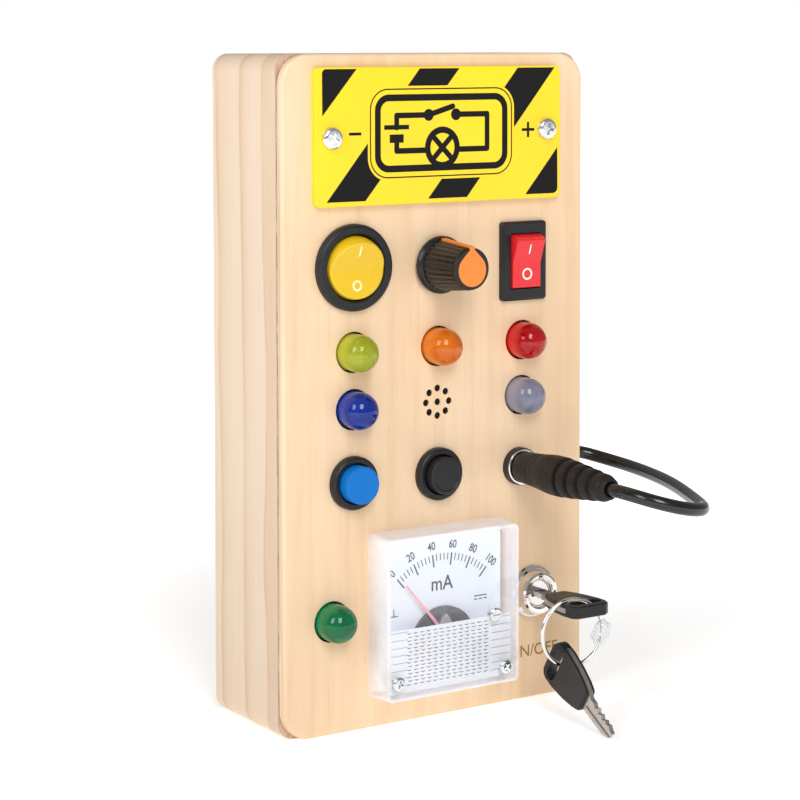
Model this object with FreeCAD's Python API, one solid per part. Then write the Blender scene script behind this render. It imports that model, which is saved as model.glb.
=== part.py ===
import FreeCAD, Part
import os
import math
from FreeCAD import Vector, Rotation, Placement

# Wooden busy board, millimetres.
# Row frame: origin at the centre of the underside, +Z up, the front face looks along -Y.
# Every piece is drawn with Y measured from the front face (negative stands out of the
# front, positive goes into the board) and is moved back by half the depth when it is written.

# ---- driving dimensions ----
BOARD_W, BOARD_D, BOARD_H = 97.0, 38.0, 180.0
PANEL_T = 3.0
PANEL_R, BODY_R = 8.0, 4.5
PANEL_ROUND = 0.9
WALL = 8.0
BACK_T = 3.0
CAV_BACK = BOARD_D - BACK_T           # 35, back of the routed cavity

SIGN = (-39.5, 140.0, 39.4, 176.5)    # x0, z0, x1, z1
SIGN_T = 2.0
SIGN_SCREWS = ((-34.8, 158.0), (34.4, 159.1))

YEL = (-27.2, 123.8)                  # round rocker switch
YEL_BEZEL_R, YEL_OPEN_R, YEL_ROCK_R, YEL_BARREL_R = 11.55, 8.8, 8.5, 10.0
YEL_PIVOT_Y, YEL_TILT = -0.3, 9.0

RED = (27.6, 122.8)                   # rectangular rocker switch
RED_W, RED_H = 15.0, 21.8
RED_OPEN_W, RED_OPEN_H = 10.0, 15.4
RED_PIVOT_Y, RED_R, RED_TILT = -0.6, 7.5, 10.0

KNOB = (-0.1, 123.2)
SHAFT_R = 3.0

LED_R, LED_HOLE_R, LED_DOME_Y = 5.0, 5.5, -3.2
LEDS = {
    "led_yellow_green": (-26.9, 101.3),
    "led_orange": (-0.15, 101.1),
    "led_red": (27.8, 100.8),
    "led_blue": (-27.0, 86.1),
    "led_clear": (27.5, 85.5),
    "led_green": (-33.8, 30.3),
}
SPEAKER = (-0.3, 85.9)
SPEAKER_RING_R, SPEAKER_HOLE_R = 3.73, 0.95

BLUE_BTN = (-27.4, 66.7)
BLACK_BTN = (-0.4, 66.4)
BTN_BEZEL_R, BTN_BORE_R, BTN_CAP_R, BTN_BARREL_R = 7.15, 5.3, 5.0, 6.0

JACK = (26.6, 65.8)
CORD_D = 3.6
CORD_END_Y = -41.5                    # where the cord enters the plug's strain relief
GLAND = (BOARD_W / 2 + 1.2, 19.0, 64.5)

METER = (-22.5, 8.2, 20.9, 52.4)      # cover outline on the panel
METER_FRONT = (-22.1, 8.6, 20.5, 52.0)
METER_DEPTH, METER_WALL = 9.0, 1.5
METER_BARREL_R = 17.5
METER_C = (-0.3, 30.3)
NEEDLE_PIVOT = (-0.3, 23.1)
NEEDLE_LEN, NEEDLE_REST = 19.4, 40.3  # rest angle to the left of upright

LOCK = (31.3, 30.1)
LOCK_BARREL_R, LOCK_CYL_R = 6.0, 3.6

KEY_T, KEY_CORE_T, KEY_W, KEY_L = 3.4, 1.6, 12.8, 17.5
KEY_BLADE_T, KEY_BLADE_W = 1.3, 4.6
SLOT_R = 1.6                          # half width of the slot in the bow

RING_R, RING_WIRE_R = 9.1, 0.55
RING_C = (28.0, -23.1, 23.7)
RING_TURN = 9.5                       # degrees about Z, right side forward
SPARE_AT = (24.5, -22.0, 15.3)        # where the ring passes the spare key's slot
SPARE_TILT = 32.0                     # below horizontal

os.makedirs("parts", exist_ok=True)
SHIFT = Vector(0, -BOARD_D / 2, 0)


def save(name, shape):
    if isinstance(shape, (list, tuple)):
        for s in shape:
            if not s.isValid():
                print("INVALID member in", name)
        shape = Part.makeCompound([s.copy() for s in shape])
    shape = shape.copy()
    shape.translate(SHIFT)
    bb = shape.BoundBox
    print("%-24s solids %2d vol %10.2f valid %s  x %.2f %.2f y %.2f %.2f z %.2f %.2f" % (
        name, len(shape.Solids), shape.Volume, shape.isValid(),
        bb.XMin, bb.XMax, bb.YMin, bb.YMax, bb.ZMin, bb.ZMax))
    shape.exportStep("parts/%s.step" % name)


def one(shape):
    """A single solid out of a boolean's result."""
    shape = shape.removeSplitter() if hasattr(shape, "removeSplitter") else shape
    if shape.ShapeType == "Compound" and len(shape.Solids) == 1:
        return shape.Solids[0]
    return shape


def box(x0, y0, z0, x1, y1, z1):
    return Part.makeBox(x1 - x0, y1 - y0, z1 - z0, Vector(x0, y0, z0))


def cyl(p, d, r, h):
    return Part.makeCylinder(r, h, Vector(*p), Vector(*d))


def cyl_y(c, r, y0, y1):
    return Part.makeCylinder(r, y1 - y0, Vector(c[0], y0, c[1]), Vector(0, 1, 0))


def tube_y(c, ro, ri, y0, y1):
    return cyl_y(c, ro, y0, y1).cut(cyl_y(c, ri, y0 - 0.01, y1 + 0.01))


def rrect_wire(x0, z0, x1, z1, r, y):
    """Rounded rectangle in a plane of constant y."""
    pts = []
    k = r * (1 - math.sqrt(0.5))
    e = []
    V = Vector

    def ln(a, b):
        e.append(Part.LineSegment(a, b).toShape())

    def arc(a, m, b):
        e.append(Part.Arc(a, m, b).toShape())
    ln(V(x0 + r, y, z0), V(x1 - r, y, z0))
    arc(V(x1 - r, y, z0), V(x1 - k, y, z0 + k), V(x1, y, z0 + r))
    ln(V(x1, y, z0 + r), V(x1, y, z1 - r))
    arc(V(x1, y, z1 - r), V(x1 - k, y, z1 - k), V(x1 - r, y, z1))
    ln(V(x1 - r, y, z1), V(x0 + r, y, z1))
    arc(V(x0 + r, y, z1), V(x0 + k, y, z1 - k), V(x0, y, z1 - r))
    ln(V(x0, y, z1 - r), V(x0, y, z0 + r))
    arc(V(x0, y, z0 + r), V(x0 + k, y, z0 + k), V(x0 + r, y, z0))
    return Part.Wire(e)


def rprism(x0, z0, x1, z1, r, y0, y1):
    f = Part.Face(rrect_wire(x0, z0, x1, z1, r, y0))
    return f.extrude(Vector(0, y1 - y0, 0))


def poly_prism(pts, direction, depth):
    """Prism from a closed polygon of 3-D points."""
    v = [Vector(*p) for p in pts]
    v.append(v[0])
    f = Part.Face(Part.makePolygon(v))
    d = Vector(*direction)
    d.normalize()
    return f.extrude(d * depth)


def lathe(c, prof, holes=()):
    """Turned piece about an axis along Y through (x, z) = c; prof is a closed list of (r, y)."""
    v = [Vector(c[0] + r, y, c[1]) for r, y in prof]
    v.append(v[0])
    f = Part.Face(Part.makePolygon(v))
    s = f.revolve(Vector(c[0], 0, c[1]), Vector(0, 1, 0), 360)
    for h in holes:
        s = s.cut(h)
    return s if s.ShapeType == "Solid" else (s.Solids[0] if len(s.Solids) == 1 else s)


def fillet_where(shape, r, test):
    e = [x for x in shape.Edges if test(x)]
    if not e:
        print("no edge to round")
        return shape
    return shape.makeFillet(r, e)


def chamfer_where(shape, r, test):
    e = [x for x in shape.Edges if test(x)]
    if not e:
        print("no edge to chamfer")
        return shape
    return shape.makeChamfer(r, e)


def all_at_y(e, y, tol=1e-4):
    b = e.BoundBox
    return abs(b.YMin - y) < tol and abs(b.YMax - y) < tol


def hexagon(c, af, y0, y1):
    r = af / math.sqrt(3)
    pts = [(c[0] + r * math.cos(math.radians(60 * i + 30)), y0, c[1] + r * math.sin(math.radians(60 * i + 30)))
           for i in range(6)]
    return poly_prism(pts, (0, 1, 0), y1 - y0)


def nut_y(c, af, hole_r, y0, y1):
    n = hexagon(c, af, y0, y1)
    # turned corners, as on a real nut
    rr = af / math.sqrt(3)
    t = 0.6
    cone = lathe(c, [(0, y0), (rr - t, y0), (rr, y0 + t * 0.6), (rr, y1 - t * 0.6), (rr - t, y1), (0, y1)])
    n = n.common(cone)
    return one(n.cut(cyl_y(c, hole_r, y0 - 1, y1 + 1)))


def cross_recess(c, y, w, t, depth, turn=45):
    """Phillips recess cut into a screw head that looks along -Y."""
    a = box(-w / 2, 0, -t / 2, w / 2, depth, t / 2)
    b = box(-t / 2, 0, -w / 2, t / 2, depth, w / 2)
    s = a.fuse(b)
    cone = Part.makeCone(t * 0.95, 0.15, depth * 1.15, Vector(0, -0.01, 0), Vector(0, 1, 0))
    s = s.fuse(cone)
    s.rotate(Vector(0, 0, 0), Vector(0, 1, 0), turn)
    s.translate(Vector(c[0], y, c[1]))
    return s


def pan_screw(c, head_r, head_h, y_seat, shank_r, shank_end, turn=45):
    """Pan-head cross-slot screw: head stands out along -Y from y_seat, shank goes to shank_end."""
    prof = [(0, y_seat - head_h)]
    for i in range(1, 7):
        a = math.radians(90 * i / 6)
        prof.append((head_r * (0.55 + 0.45 * math.sin(a)), y_seat - head_h * (0.35 + 0.65 * math.cos(a))))
    prof += [(head_r, y_seat), (shank_r, y_seat), (shank_r, shank_end - 0.8), (0, shank_end)]
    s = lathe(c, prof)
    return one(s.cut(cross_recess(c, y_seat - head_h - 0.02, head_r * 1.15, head_r * 0.27, head_h * 0.6, turn)))


# ================= wooden case =================
panel = rprism(-BOARD_W / 2, 0, BOARD_W / 2, BOARD_H, PANEL_R, 0, PANEL_T)
panel = fillet_where(panel, PANEL_ROUND, lambda e: all_at_y(e, 0))
cuts = [cyl_y(YEL, YEL_BARREL_R + 0.1, -1, 4),
        cyl_y(KNOB, 3.6, -1, 4),
        box(RED[0] - 6.55, -1, RED[1] - 9.6, RED[0] + 6.55, 4, RED[1] + 9.6),
        cyl_y(BLUE_BTN, BTN_BARREL_R + 0.1, -1, 4),
        cyl_y(BLACK_BTN, BTN_BARREL_R + 0.1, -1, 4),
        cyl_y(JACK, 4.0, -1, 4),
        cyl_y(METER_C, METER_BARREL_R + 0.1, -1, 4),
        cyl_y(LOCK, LOCK_BARREL_R + 0.1, -1, 4),
        cyl_y(SPEAKER, SPEAKER_HOLE_R, -1, 4)]
for c in LEDS.values():
    cuts.append(cyl_y(c, LED_HOLE_R, -1, 4))
for i in range(8):
    a = math.radians(45 * i)
    cuts.append(cyl_y((SPEAKER[0] + SPEAKER_RING_R * math.cos(a), SPEAKER[1] + SPEAKER_RING_R * math.sin(a)),
                      SPEAKER_HOLE_R, -1, 4))
for c in SIGN_SCREWS:
    cuts.append(cyl_y(c, 1.45, -1, 4))
panel = one(panel.cut(Part.makeCompound(cuts)))
save("front_panel", panel)

body = rprism(-BOARD_W / 2, 0, BOARD_W / 2, BOARD_H, BODY_R, PANEL_T, BOARD_D)
body = fillet_where(body, 1.0, lambda e: all_at_y(e, BOARD_D))
cx, cz = BOARD_W / 2 - WALL, WALL
cav = rprism(-cx, cz, cx, BOARD_H - cz, 2.0, PANEL_T - 1, CAV_BACK + 0.01)
for sx in (-1, 1):
    for z0, z1 in ((cz - 1, 20.0), (152.0, BOARD_H - cz + 1)):
        x0, x1 = (sx * (cx + 1), sx * 28.5)
        cav = cav.cut(box(min(x0, x1), PANEL_T - 2, z0, max(x0, x1), CAV_BACK + 1, z1))
body = body.cut(cav)
body = body.cut(rprism(-cx - 2, cz - 2, cx + 2, BOARD_H - cz + 2, 2.0, CAV_BACK, BOARD_D + 1))
body = body.cut(cyl((cx - 1, GLAND[1], GLAND[2]), (1, 0, 0), 3.0, WALL + 3))
for c in SIGN_SCREWS:
    body = body.cut(cyl_y(c, 1.45, PANEL_T - 1, 9.0))
BACK_SCREWS = [(sx * 35.0, z) for sx in (-1, 1) for z in (13.5, 166.5)]
for c in BACK_SCREWS:
    body = body.cut(cyl_y(c, 1.2, 26.0, CAV_BACK + 1))
body = one(body)
save("box_body", body)

# back panel, let into the rear, with a battery opening and a stepped seat for its door
DOOR = (-31.0, 77.0, 38.0, 113.0)
back = rprism(-cx - 1.9, cz - 1.9, cx + 1.9, BOARD_H - cz + 1.9, 1.9, CAV_BACK, BOARD_D)
back = back.cut(box(-28.0, CAV_BACK - 1, 80.0, 28.0, BOARD_D + 1, 110.0))
back = back.cut(rprism(DOOR[0] - 0.2, DOOR[1] - 0.2, DOOR[2] + 0.2, DOOR[3] + 0.2, 2.2, CAV_BACK + 1.0, BOARD_D + 1))
DOOR_SCREW = (34.0, 95.0)
back = back.cut(cyl_y(DOOR_SCREW, 1.4, CAV_BACK - 1, BOARD_D + 1))
for c in BACK_SCREWS:
    back = back.cut(cyl_y(c, 1.25, CAV_BACK - 1, BOARD_D + 1))
    back = back.cut(lathe(c, [(0, BOARD_D - 1.95), (1.25, BOARD_D - 1.95), (2.95, BOARD_D - 0.2), (2.95, BOARD_D + 1), (0, BOARD_D + 1)]))
save("back_panel", one(back))


def csk_screw(c, head_r, y_top, shank_r, length):
    """Countersunk cross-slot screw whose head faces +Y."""
    prof = [(0, y_top), (head_r, y_top), (head_r, y_top - 0.15), (shank_r, y_top - (head_r - shank_r) - 0.15),
            (shank_r, y_top - length + 0.8), (0, y_top - length)]
    s = lathe(c, prof)
    r = cross_recess((0, 0), 0, head_r * 1.2, head_r * 0.26, 1.0)
    r.rotate(Vector(0, 0, 0), Vector(0, 0, 1), 180)
    r.translate(Vector(c[0], y_top + 0.02, c[1]))
    return one(s.cut(r))


save("back_panel_screws", [csk_screw(c, 2.7, BOARD_D - 0.05, 1.2, 11.0) for c in BACK_SCREWS])

# battery holder: tray with flange behind the back panel
hold = rprism(-32.0, 76.0, 38.2, 114.0, 2.0, CAV_BACK - 1.5, CAV_BACK)
hold = hold.fuse(box(-29.5, 19.0, 78.5, 29.5, CAV_BACK, 111.5))
hold = hold.fuse(cyl_y(DOOR_SCREW, 3.2, 27.0, CAV_BACK))
hold = hold.cut(box(-28.0, 20.5, 80.0, 28.0, CAV_BACK + 1, 110.0))
hold = hold.cut(cyl_y(DOOR_SCREW, 1.05, 28.5, CAV_BACK + 1))
save("battery_holder", one(hold))

CELL_R, CELL_Y = 7.1, 28.2
cells, contacts = [], []
for z, s in ((87.4, 1), (102.6, -1)):
    cell = cyl((-24.9 * s, CELL_Y, z), (s, 0, 0), CELL_R, 49.0)
    cell = fillet_where(cell, 0.5, lambda e: True)
    nub = cyl((24.1 * s, CELL_Y, z), (s, 0, 0), 2.7, 1.2)
    cells.append(one(cell.fuse(nub)))
    # flat contact at the raised end, coned spring contact at the other
    x0, x1 = sorted((25.35 * s, 25.75 * s))
    pad = box(x0, 22.0, z - 5, x1, 34.0, z + 5)
    x0, x1 = sorted((25.75 * s, 28.0 * s))
    pad = pad.fuse(box(x0, 33.6, z - 2, x1, 34.0, z + 2))
    contacts.append(one(pad))
    con = Part.makeCone(2.2, 4.2, 2.7, Vector(-24.9 * s, CELL_Y, z), Vector(-s, 0, 0))
    con = con.cut(Part.makeCone(1.6, 3.6, 2.7, Vector(-24.9 * s, CELL_Y, z), Vector(-s, 0, 0)))
    x0, x1 = sorted((-27.6 * s, -28.0 * s))
    con = con.fuse(box(x0, 22.0, z - 5, x1, 34.0, z + 5))
    contacts.append(one(con))
save("batteries", cells)
save("battery_contacts", contacts)

door = rprism(*DOOR, 2.0, CAV_BACK + 1.0, BOARD_D)
door = fillet_where(door, 0.4, lambda e: all_at_y(e, BOARD_D))
for i in range(5):                                   # finger ribs
    x = -24.0 + i * 2.4
    door = door.cut(box(x, BOARD_D - 0.5, 87.0, x + 1.2, BOARD_D + 1, 103.0))
door = door.cut(cyl_y(DOOR_SCREW, 1.3, CAV_BACK, BOARD_D + 1))
door = door.cut(cyl_y(DOOR_SCREW, 2.6, BOARD_D - 1.0, BOARD_D + 1))
save("battery_door", one(door))
ds = lathe(DOOR_SCREW, [(0, BOARD_D + 0.3), (1.6, BOARD_D + 0.3), (2.3, BOARD_D - 0.2), (2.3, BOARD_D - 1.0),
                        (1.0, BOARD_D - 1.0), (1.0, 30.2), (0, 29.4)])
rc = cross_recess((0, 0), 0, 2.8, 0.62, 0.8)
rc.rotate(Vector(0, 0, 0), Vector(0, 0, 1), 180)
rc.translate(Vector(DOOR_SCREW[0], BOARD_D + 0.32, DOOR_SCREW[1]))
save("battery_door_screw", one(ds.cut(rc)))

# ================= sign plate =================
sign = rprism(*SIGN, 1.5, -SIGN_T, 0)
sign = fillet_where(sign, 0.25, lambda e: all_at_y(e, -SIGN_T))
for c in SIGN_SCREWS:
    sign = sign.cut(cyl_y(c, 1.45, -SIGN_T - 1, 1))
save("sign_plate", one(sign))
save("sign_screws", [pan_screw(c, 3.0, 1.7, -SIGN_T, 1.45, 8.8, t) for c, t in zip(SIGN_SCREWS, (30, 12))])

# ================= round rocker switch =================
c = YEL
hous = lathe(c, [(YEL_OPEN_R, -1.7), (YEL_OPEN_R + 0.5, -2.2), (YEL_BEZEL_R - 0.9, -2.2), (YEL_BEZEL_R - 0.3, -1.9),
                 (YEL_BEZEL_R, -1.3), (YEL_BEZEL_R, 0.0), (YEL_BARREL_R, 0.0), (YEL_BARREL_R, 18.0), (0, 18.0),
                 (0, 16.5), (YEL_OPEN_R, 16.5)])
hous = hous.cut(cyl((c[0] - 9.45, YEL_PIVOT_Y, c[1]), (1, 0, 0), 0.95, 18.9))
hous = one(hous)
save("yellow_switch_housing", hous)

rock = Part.makeSphere(YEL_ROCK_R, Vector(c[0], YEL_PIVOT_Y, c[1]))
vy, ey, ez = -2.4, -4.2, 7.5
slope = (vy - ey) / ez
far = 12.0
front = poly_prism([(c[0] - 12, -20, c[1] + far), (c[0] - 12, vy - slope * far, c[1] + far), (c[0] - 12, vy, c[1]),
                    (c[0] - 12, vy - slope * far, c[1] - far), (c[0] - 12, -20, c[1] - far)], (1, 0, 0), 24)
rock = rock.cut(front)
rock = rock.cut(box(c[0] - 12, YEL_PIVOT_Y + 4.0, c[1] - 12, c[0] + 12, 12, c[1] + 12))
rock = fillet_where(one(rock), 0.35, lambda e: e.BoundBox.YMax < vy + 0.05 and e.BoundBox.XLength > 3 and e.BoundBox.ZLength > 2)
rock = rock.fuse(cyl((c[0] - 9.3, YEL_PIVOT_Y, c[1]), (1, 0, 0), 0.9, 18.6))
rock = one(rock)
rock.rotate(Vector(c[0], YEL_PIVOT_Y, c[1]), Vector(1, 0, 0), YEL_TILT)
save("yellow_rocker", rock)

# ================= rectangular rocker switch =================
c = RED
hw, hh = RED_W / 2, RED_H / 2
ow, oh = RED_OPEN_W / 2, RED_OPEN_H / 2
bez = rprism(c[0] - hw, c[1] - hh, c[0] + hw, c[1] + hh, 1.0, -2.0, 0)
bez = chamfer_where(bez, 0.7, lambda e: all_at_y(e, -2.0))
hous = bez.fuse(box(c[0] - 6.45, 0, c[1] - 9.5, c[0] + 6.45, 12.0, c[1] + 9.5))
hous = hous.cut(box(c[0] - ow, -3, c[1] - oh, c[0] + ow, 10.8, c[1] + oh))
hous = hous.cut(cyl((c[0] - 5.6, RED_PIVOT_Y, c[1]), (1, 0, 0), 0.85, 11.2))
save("red_switch_housing", one(hous))

rock = cyl((c[0] - 4.7, RED_PIVOT_Y, c[1]), (1, 0, 0), RED_R, 9.4)
vy = -2.9
ey, ez = -4.0, 6.68
slope = (vy - ey) / ez
front = poly_prism([(c[0] - 12, -20, c[1] + far), (c[0] - 12, vy - slope * far, c[1] + far), (c[0] - 12, vy, c[1]),
                    (c[0] - 12, vy - slope * far, c[1] - far), (c[0] - 12, -20, c[1] - far)], (1, 0, 0), 24)
rock = rock.cut(front)
rock = one(rock.cut(box(c[0] - 12, RED_PIVOT_Y + 3.4, c[1] - 12, c[0] + 12, 12, c[1] + 12)))
rock = fillet_where(rock, 0.4, lambda e: e.BoundBox.YMax < -2.8 and (e.BoundBox.XLength < 0.01 or e.BoundBox.YMax < -3.8))
rock = one(rock.fuse(cyl((c[0] - 5.5, RED_PIVOT_Y, c[1]), (1, 0, 0), 0.8, 11.0)))
rock.rotate(Vector(c[0], RED_PIVOT_Y, c[1]), Vector(1, 0, 0), RED_TILT)
save("red_rocker", rock)

terms = []
for dz in (-4.5, 4.5):
    terms.append(box(YEL[0] - 2.4, 18.0, YEL[1] + dz - 0.4, YEL[0] + 2.4, 25.0, YEL[1] + dz + 0.4))
    terms.append(box(RED[0] - 2.4, 12.0, RED[1] + dz - 0.4, RED[0] + 2.4, 19.0, RED[1] + dz + 0.4))
save("switch_terminals", terms)

# ================= rotary control =================
c = KNOB
pot = lathe(c, [(SHAFT_R + 0.05, -3.5), (3.5, -3.5), (3.5, 3.0), (8.5, 3.0), (8.5, 12.0), (0, 12.0), (0, 10.5), (SHAFT_R + 0.05, 10.5)])
pot = pot.fuse(box(c[0] - 6.5, 4.0, c[1] - 13.0, c[0] + 6.5, 5.6, c[1] - 6.0))
for dx in (-5.0, 0.0, 5.0):
    pot = pot.fuse(box(c[0] + dx - 0.7, 4.4, c[1] - 15.0, c[0] + dx + 0.7, 5.0, c[1] - 12.0))
save("potentiometer_body", one(pot))
shaft = cyl_y(c, SHAFT_R, -13.0, 10.3)
save("potentiometer_shaft", shaft)
pot_nut = nut_y(c, 10.0, 3.5, -2.0, 0.0)

N_FLUTE = 26


def star(r, y, depth):
    pts = []
    n = N_FLUTE * 4
    for i in range(n):
        k = i % 4
        rr = r - (depth if k in (2,) else (depth * 0.45 if k in (1, 3) else 0.0))
        a = 2 * math.pi * (i + 0.5) / n
        pts.append(Vector(c[0] + rr * math.sin(a), y, c[1] + rr * math.cos(a)))
    pts.append(pts[0])
    return Part.makePolygon(pts)


kb = Part.makeLoft([star(6.95, -2.6, 0.32), star(5.75, -15.4, 0.26)], True, True)
skirt = lathe(c, [(0, -1.0), (7.5, -1.0), (7.8, -1.3), (7.8, -2.1), (7.35, -2.75), (6.75, -3.0), (0, -3.0)])
tip = lathe(c, [(0, -15.2), (5.7, -15.2), (5.6, -15.8), (5.25, -16.2), (0, -16.2)])
kb = kb.fuse(skirt).fuse(tip)
kb = kb.cut(cyl_y(c, 6.2, -4.0, -0.5)).cut(cyl_y(c, SHAFT_R, -13.0, -3.0))
# orange cap: drop-shaped disc with a pointer bar along the body
rt, zc, zn = 4.35, -0.35, 5.75
tang = math.acos(rt / (zn - zc))
pa = Vector(c[0] - rt * math.sin(tang), -16.35, c[1] + zc + rt * math.cos(tang))
pb = Vector(c[0] + rt * math.sin(tang), -16.35, c[1] + zc + rt * math.cos(tang))
nose = Vector(c[0], -16.35, c[1] + zn)
low = Vector(c[0], -16.35, c[1] + zc - rt)
drop = Part.Face(Part.Wire([Part.LineSegment(pa, nose).toShape(), Part.LineSegment(nose, pb).toShape(),
                            Part.Arc(pb, low, pa).toShape()])).extrude(Vector(0, 1.4, 0))
bar = poly_prism([(c[0] - 0.75, -2.7, c[1] + 6.2), (c[0] - 0.75, -2.7, c[1] + 7.25), (c[0] - 0.75, -16.35, c[1] + 5.95),
                  (c[0] - 0.75, -16.35, c[1] + 4.6)], (1, 0, 0), 1.5)
cap = one(drop.fuse(bar))
save("knob_cap", cap)
save("control_knob", one(kb.cut(cap)))

# ================= lamps =================
for name, c in LEDS.items():
    n = 14
    prof = [(0, 6.0), (5.6, 6.0), (5.6, 5.0), (LED_R, 5.0)]
    f = [Part.LineSegment(Vector(c[0], 6.0, c[1]), Vector(c[0] + 5.6, 6.0, c[1])).toShape(),
         Part.LineSegment(Vector(c[0] + 5.6, 6.0, c[1]), Vector(c[0] + 5.6, 5.0, c[1])).toShape(),
         Part.LineSegment(Vector(c[0] + 5.6, 5.0, c[1]), Vector(c[0] + LED_R, 5.0, c[1])).toShape(),
         Part.LineSegment(Vector(c[0] + LED_R, 5.0, c[1]), Vector(c[0] + LED_R, LED_DOME_Y, c[1])).toShape(),
         Part.Arc(Vector(c[0] + LED_R, LED_DOME_Y, c[1]),
                  Vector(c[0] + LED_R * math.sqrt(0.5), LED_DOME_Y - LED_R * math.sqrt(0.5), c[1]),
                  Vector(c[0], LED_DOME_Y - LED_R, c[1])).toShape(),
         Part.LineSegment(Vector(c[0], LED_DOME_Y - LED_R, c[1]), Vector(c[0], 6.0, c[1])).toShape()]
    led = Part.Face(Part.Wire(f)).revolve(Vector(c[0], 0, c[1]), Vector(0, 1, 0), 360)
    save(name, led)
save("led_holders", [lathe(c, [(LED_R + 0.05, 3.0), (6.5, 3.0), (6.5, 6.2), (5.65, 6.2), (5.65, 5.0), (LED_R + 0.05, 5.0)])
                     for c in LEDS.values()])
leads = []
for name, c in LEDS.items():
    end = 10.0 if name == "led_green" else 13.4
    for dx in (-1.27, 1.27):
        leads.append(box(c[0] + dx - 0.25, 6.0, c[1] - 0.25, c[0] + dx + 0.25, end, c[1] + 0.25))
save("led_leads", leads)
board = box(-36.0, 11.0, 78.0, 36.0, 12.6, 107.5)
for name, c in LEDS.items():
    if name != "led_green":
        for dx in (-1.27, 1.27):
            board = board.cut(box(c[0] + dx - 0.25, 10, c[1] - 0.25, c[0] + dx + 0.25, 14, c[1] + 0.25))
save("led_board", one(board))
bz = lathe(SPEAKER, [(0, 3.4), (1.0, 3.4), (1.0, 3.0), (8.0, 3.0), (8.3, 3.3), (8.3, 10.2), (0, 10.2)])
save("speaker", bz)

# ================= push buttons =================


def button(c, front, dish):
    h = lathe(c, [(BTN_BORE_R, -1.9), (BTN_BORE_R + 0.3, -2.2), (BTN_BEZEL_R - 0.7, -2.2), (BTN_BEZEL_R - 0.2, -1.9),
                  (BTN_BEZEL_R, -1.4), (BTN_BEZEL_R, 0), (BTN_BARREL_R, 0), (BTN_BARREL_R, 14.0), (2.1, 14.0),
                  (2.1, 8.0), (BTN_BORE_R, 8.0)])
    prof = [(0, front + dish)]
    if dish:
        prof += [(BTN_CAP_R - 1.2, front + dish), (BTN_CAP_R - 0.8, front)]
    for i in range(0, 6):
        a = math.radians(90 * i / 5)
        prof.append((BTN_CAP_R - 0.5 + 0.5 * math.sin(a), front + 0.5 - 0.5 * math.cos(a)))
    prof += [(BTN_CAP_R, 1.0), (2.0, 1.0), (2.0, 11.0), (0, 11.0)]
    cap_ = lathe(c, prof)
    # return spring between the cap's shoulder and the floor of the barrel
    # wound from short straight lengths, mitred where they meet
    wire_r, rad, y0, y1, turns, seg = 0.28, 3.2, 1.0 + 0.32, 8.0 - 0.32, 5, 20
    coil = [Vector(c[0] + rad * math.cos(2 * math.pi * i / seg), y0 + (y1 - y0) * i / (turns * seg),
                   c[1] + rad * math.sin(2 * math.pi * i / seg)) for i in range(turns * seg + 1)]
    shell = Part.BRepOffsetAPI.MakePipeShell(Part.makePolygon(coil))
    shell.setTransitionMode(1)
    shell.add(Part.Wire([Part.Circle(coil[0], coil[1] - coil[0], wire_r).toShape()]), False, True)
    shell.build()
    shell.makeSolid()
    sp = shell.shape()
    return h, cap_, sp


h, k, s = button(BLUE_BTN, -5.7, 0.0)
save("blue_button_housing", h)
save("blue_button_cap", k)
save("blue_button_spring", s)
h, k, s = button(BLACK_BTN, -5.0, 0.25)
save("black_button_housing", h)
save("black_button_cap", k)
save("black_button_spring", s)
save("panel_nuts", [nut_y(cc, 14.0, 6.0, 3.0, 5.5) for cc in (BLUE_BTN, BLACK_BTN, LOCK)]
     + [pot_nut, nut_y(JACK, 10.5, 3.9, 3.0, 5.0)])

# ================= power socket, plug and cord =================
c = JACK
jb = lathe(c, [(2.85, -2.4), (3.85, -2.4), (3.85, -1.7), (4.45, -1.7), (4.45, -2.4), (4.9, -2.4), (5.2, -2.1), (5.2, 0),
               (3.9, 0), (3.9, 10.0), (0.95, 10.0), (0.95, 8.0), (2.85, 8.0)])
save("dc_jack_body", jb)
pin = lathe(c, [(0, -1.3), (0.6, -1.3), (0.95, -0.9), (0.95, 10.0), (0.6, 12.0), (0, 12.0)])
save("jack_centre_pin", pin)
barrel = tube_y(c, 2.75, 1.1, -6.0, 6.7)
save("plug_barrel", barrel)

prof = [(2.75, -2.8), (4.0, -2.8), (4.35, -3.2), (4.6, -8.0), (5.3, -15.0), (5.45, -17.0), (5.45, -21.4), (5.2, -22.0)]
# strain relief: tapering core with four raised rings
y = -22.0
core = lambda yy: 4.3 - (4.3 - 2.6) * (-22.0 - yy) / 19.5
ring_r = (5.15, 4.75, 4.3, 3.8)
yy = -22.0
for i, rr in enumerate(ring_r):
    a0 = -23.2 - i * 4.3
    prof += [(core(a0), a0 + 0.3), (rr - 0.35, a0), (rr, a0 - 0.4), (rr - 0.1, a0 - 2.0), (core(a0 - 2.5) + 0.1, a0 - 2.5)]
prof += [(3.1, -40.2), (3.0, -41.1), (2.7, -41.5), (0, -41.5), (0, -6.0), (2.75, -6.0)]
plug = lathe(c, prof)
save("dc_plug", plug)

CORD = [(26.6, -41.5, 65.8), (26.6, -48.9, 65.8), (30.9, -55.9, 64.1), (38.6, -58.5, 62.0), (46.9, -55.7, 60.6), (53.7, -44.3, 60.1), (62.7, -23.2, 60.7), (67.7, -3.3, 60.9), (67.7, 11.8, 61.6), (59.2, 19.0, 64.5), (49.7, 19.0, 64.5)]


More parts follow.
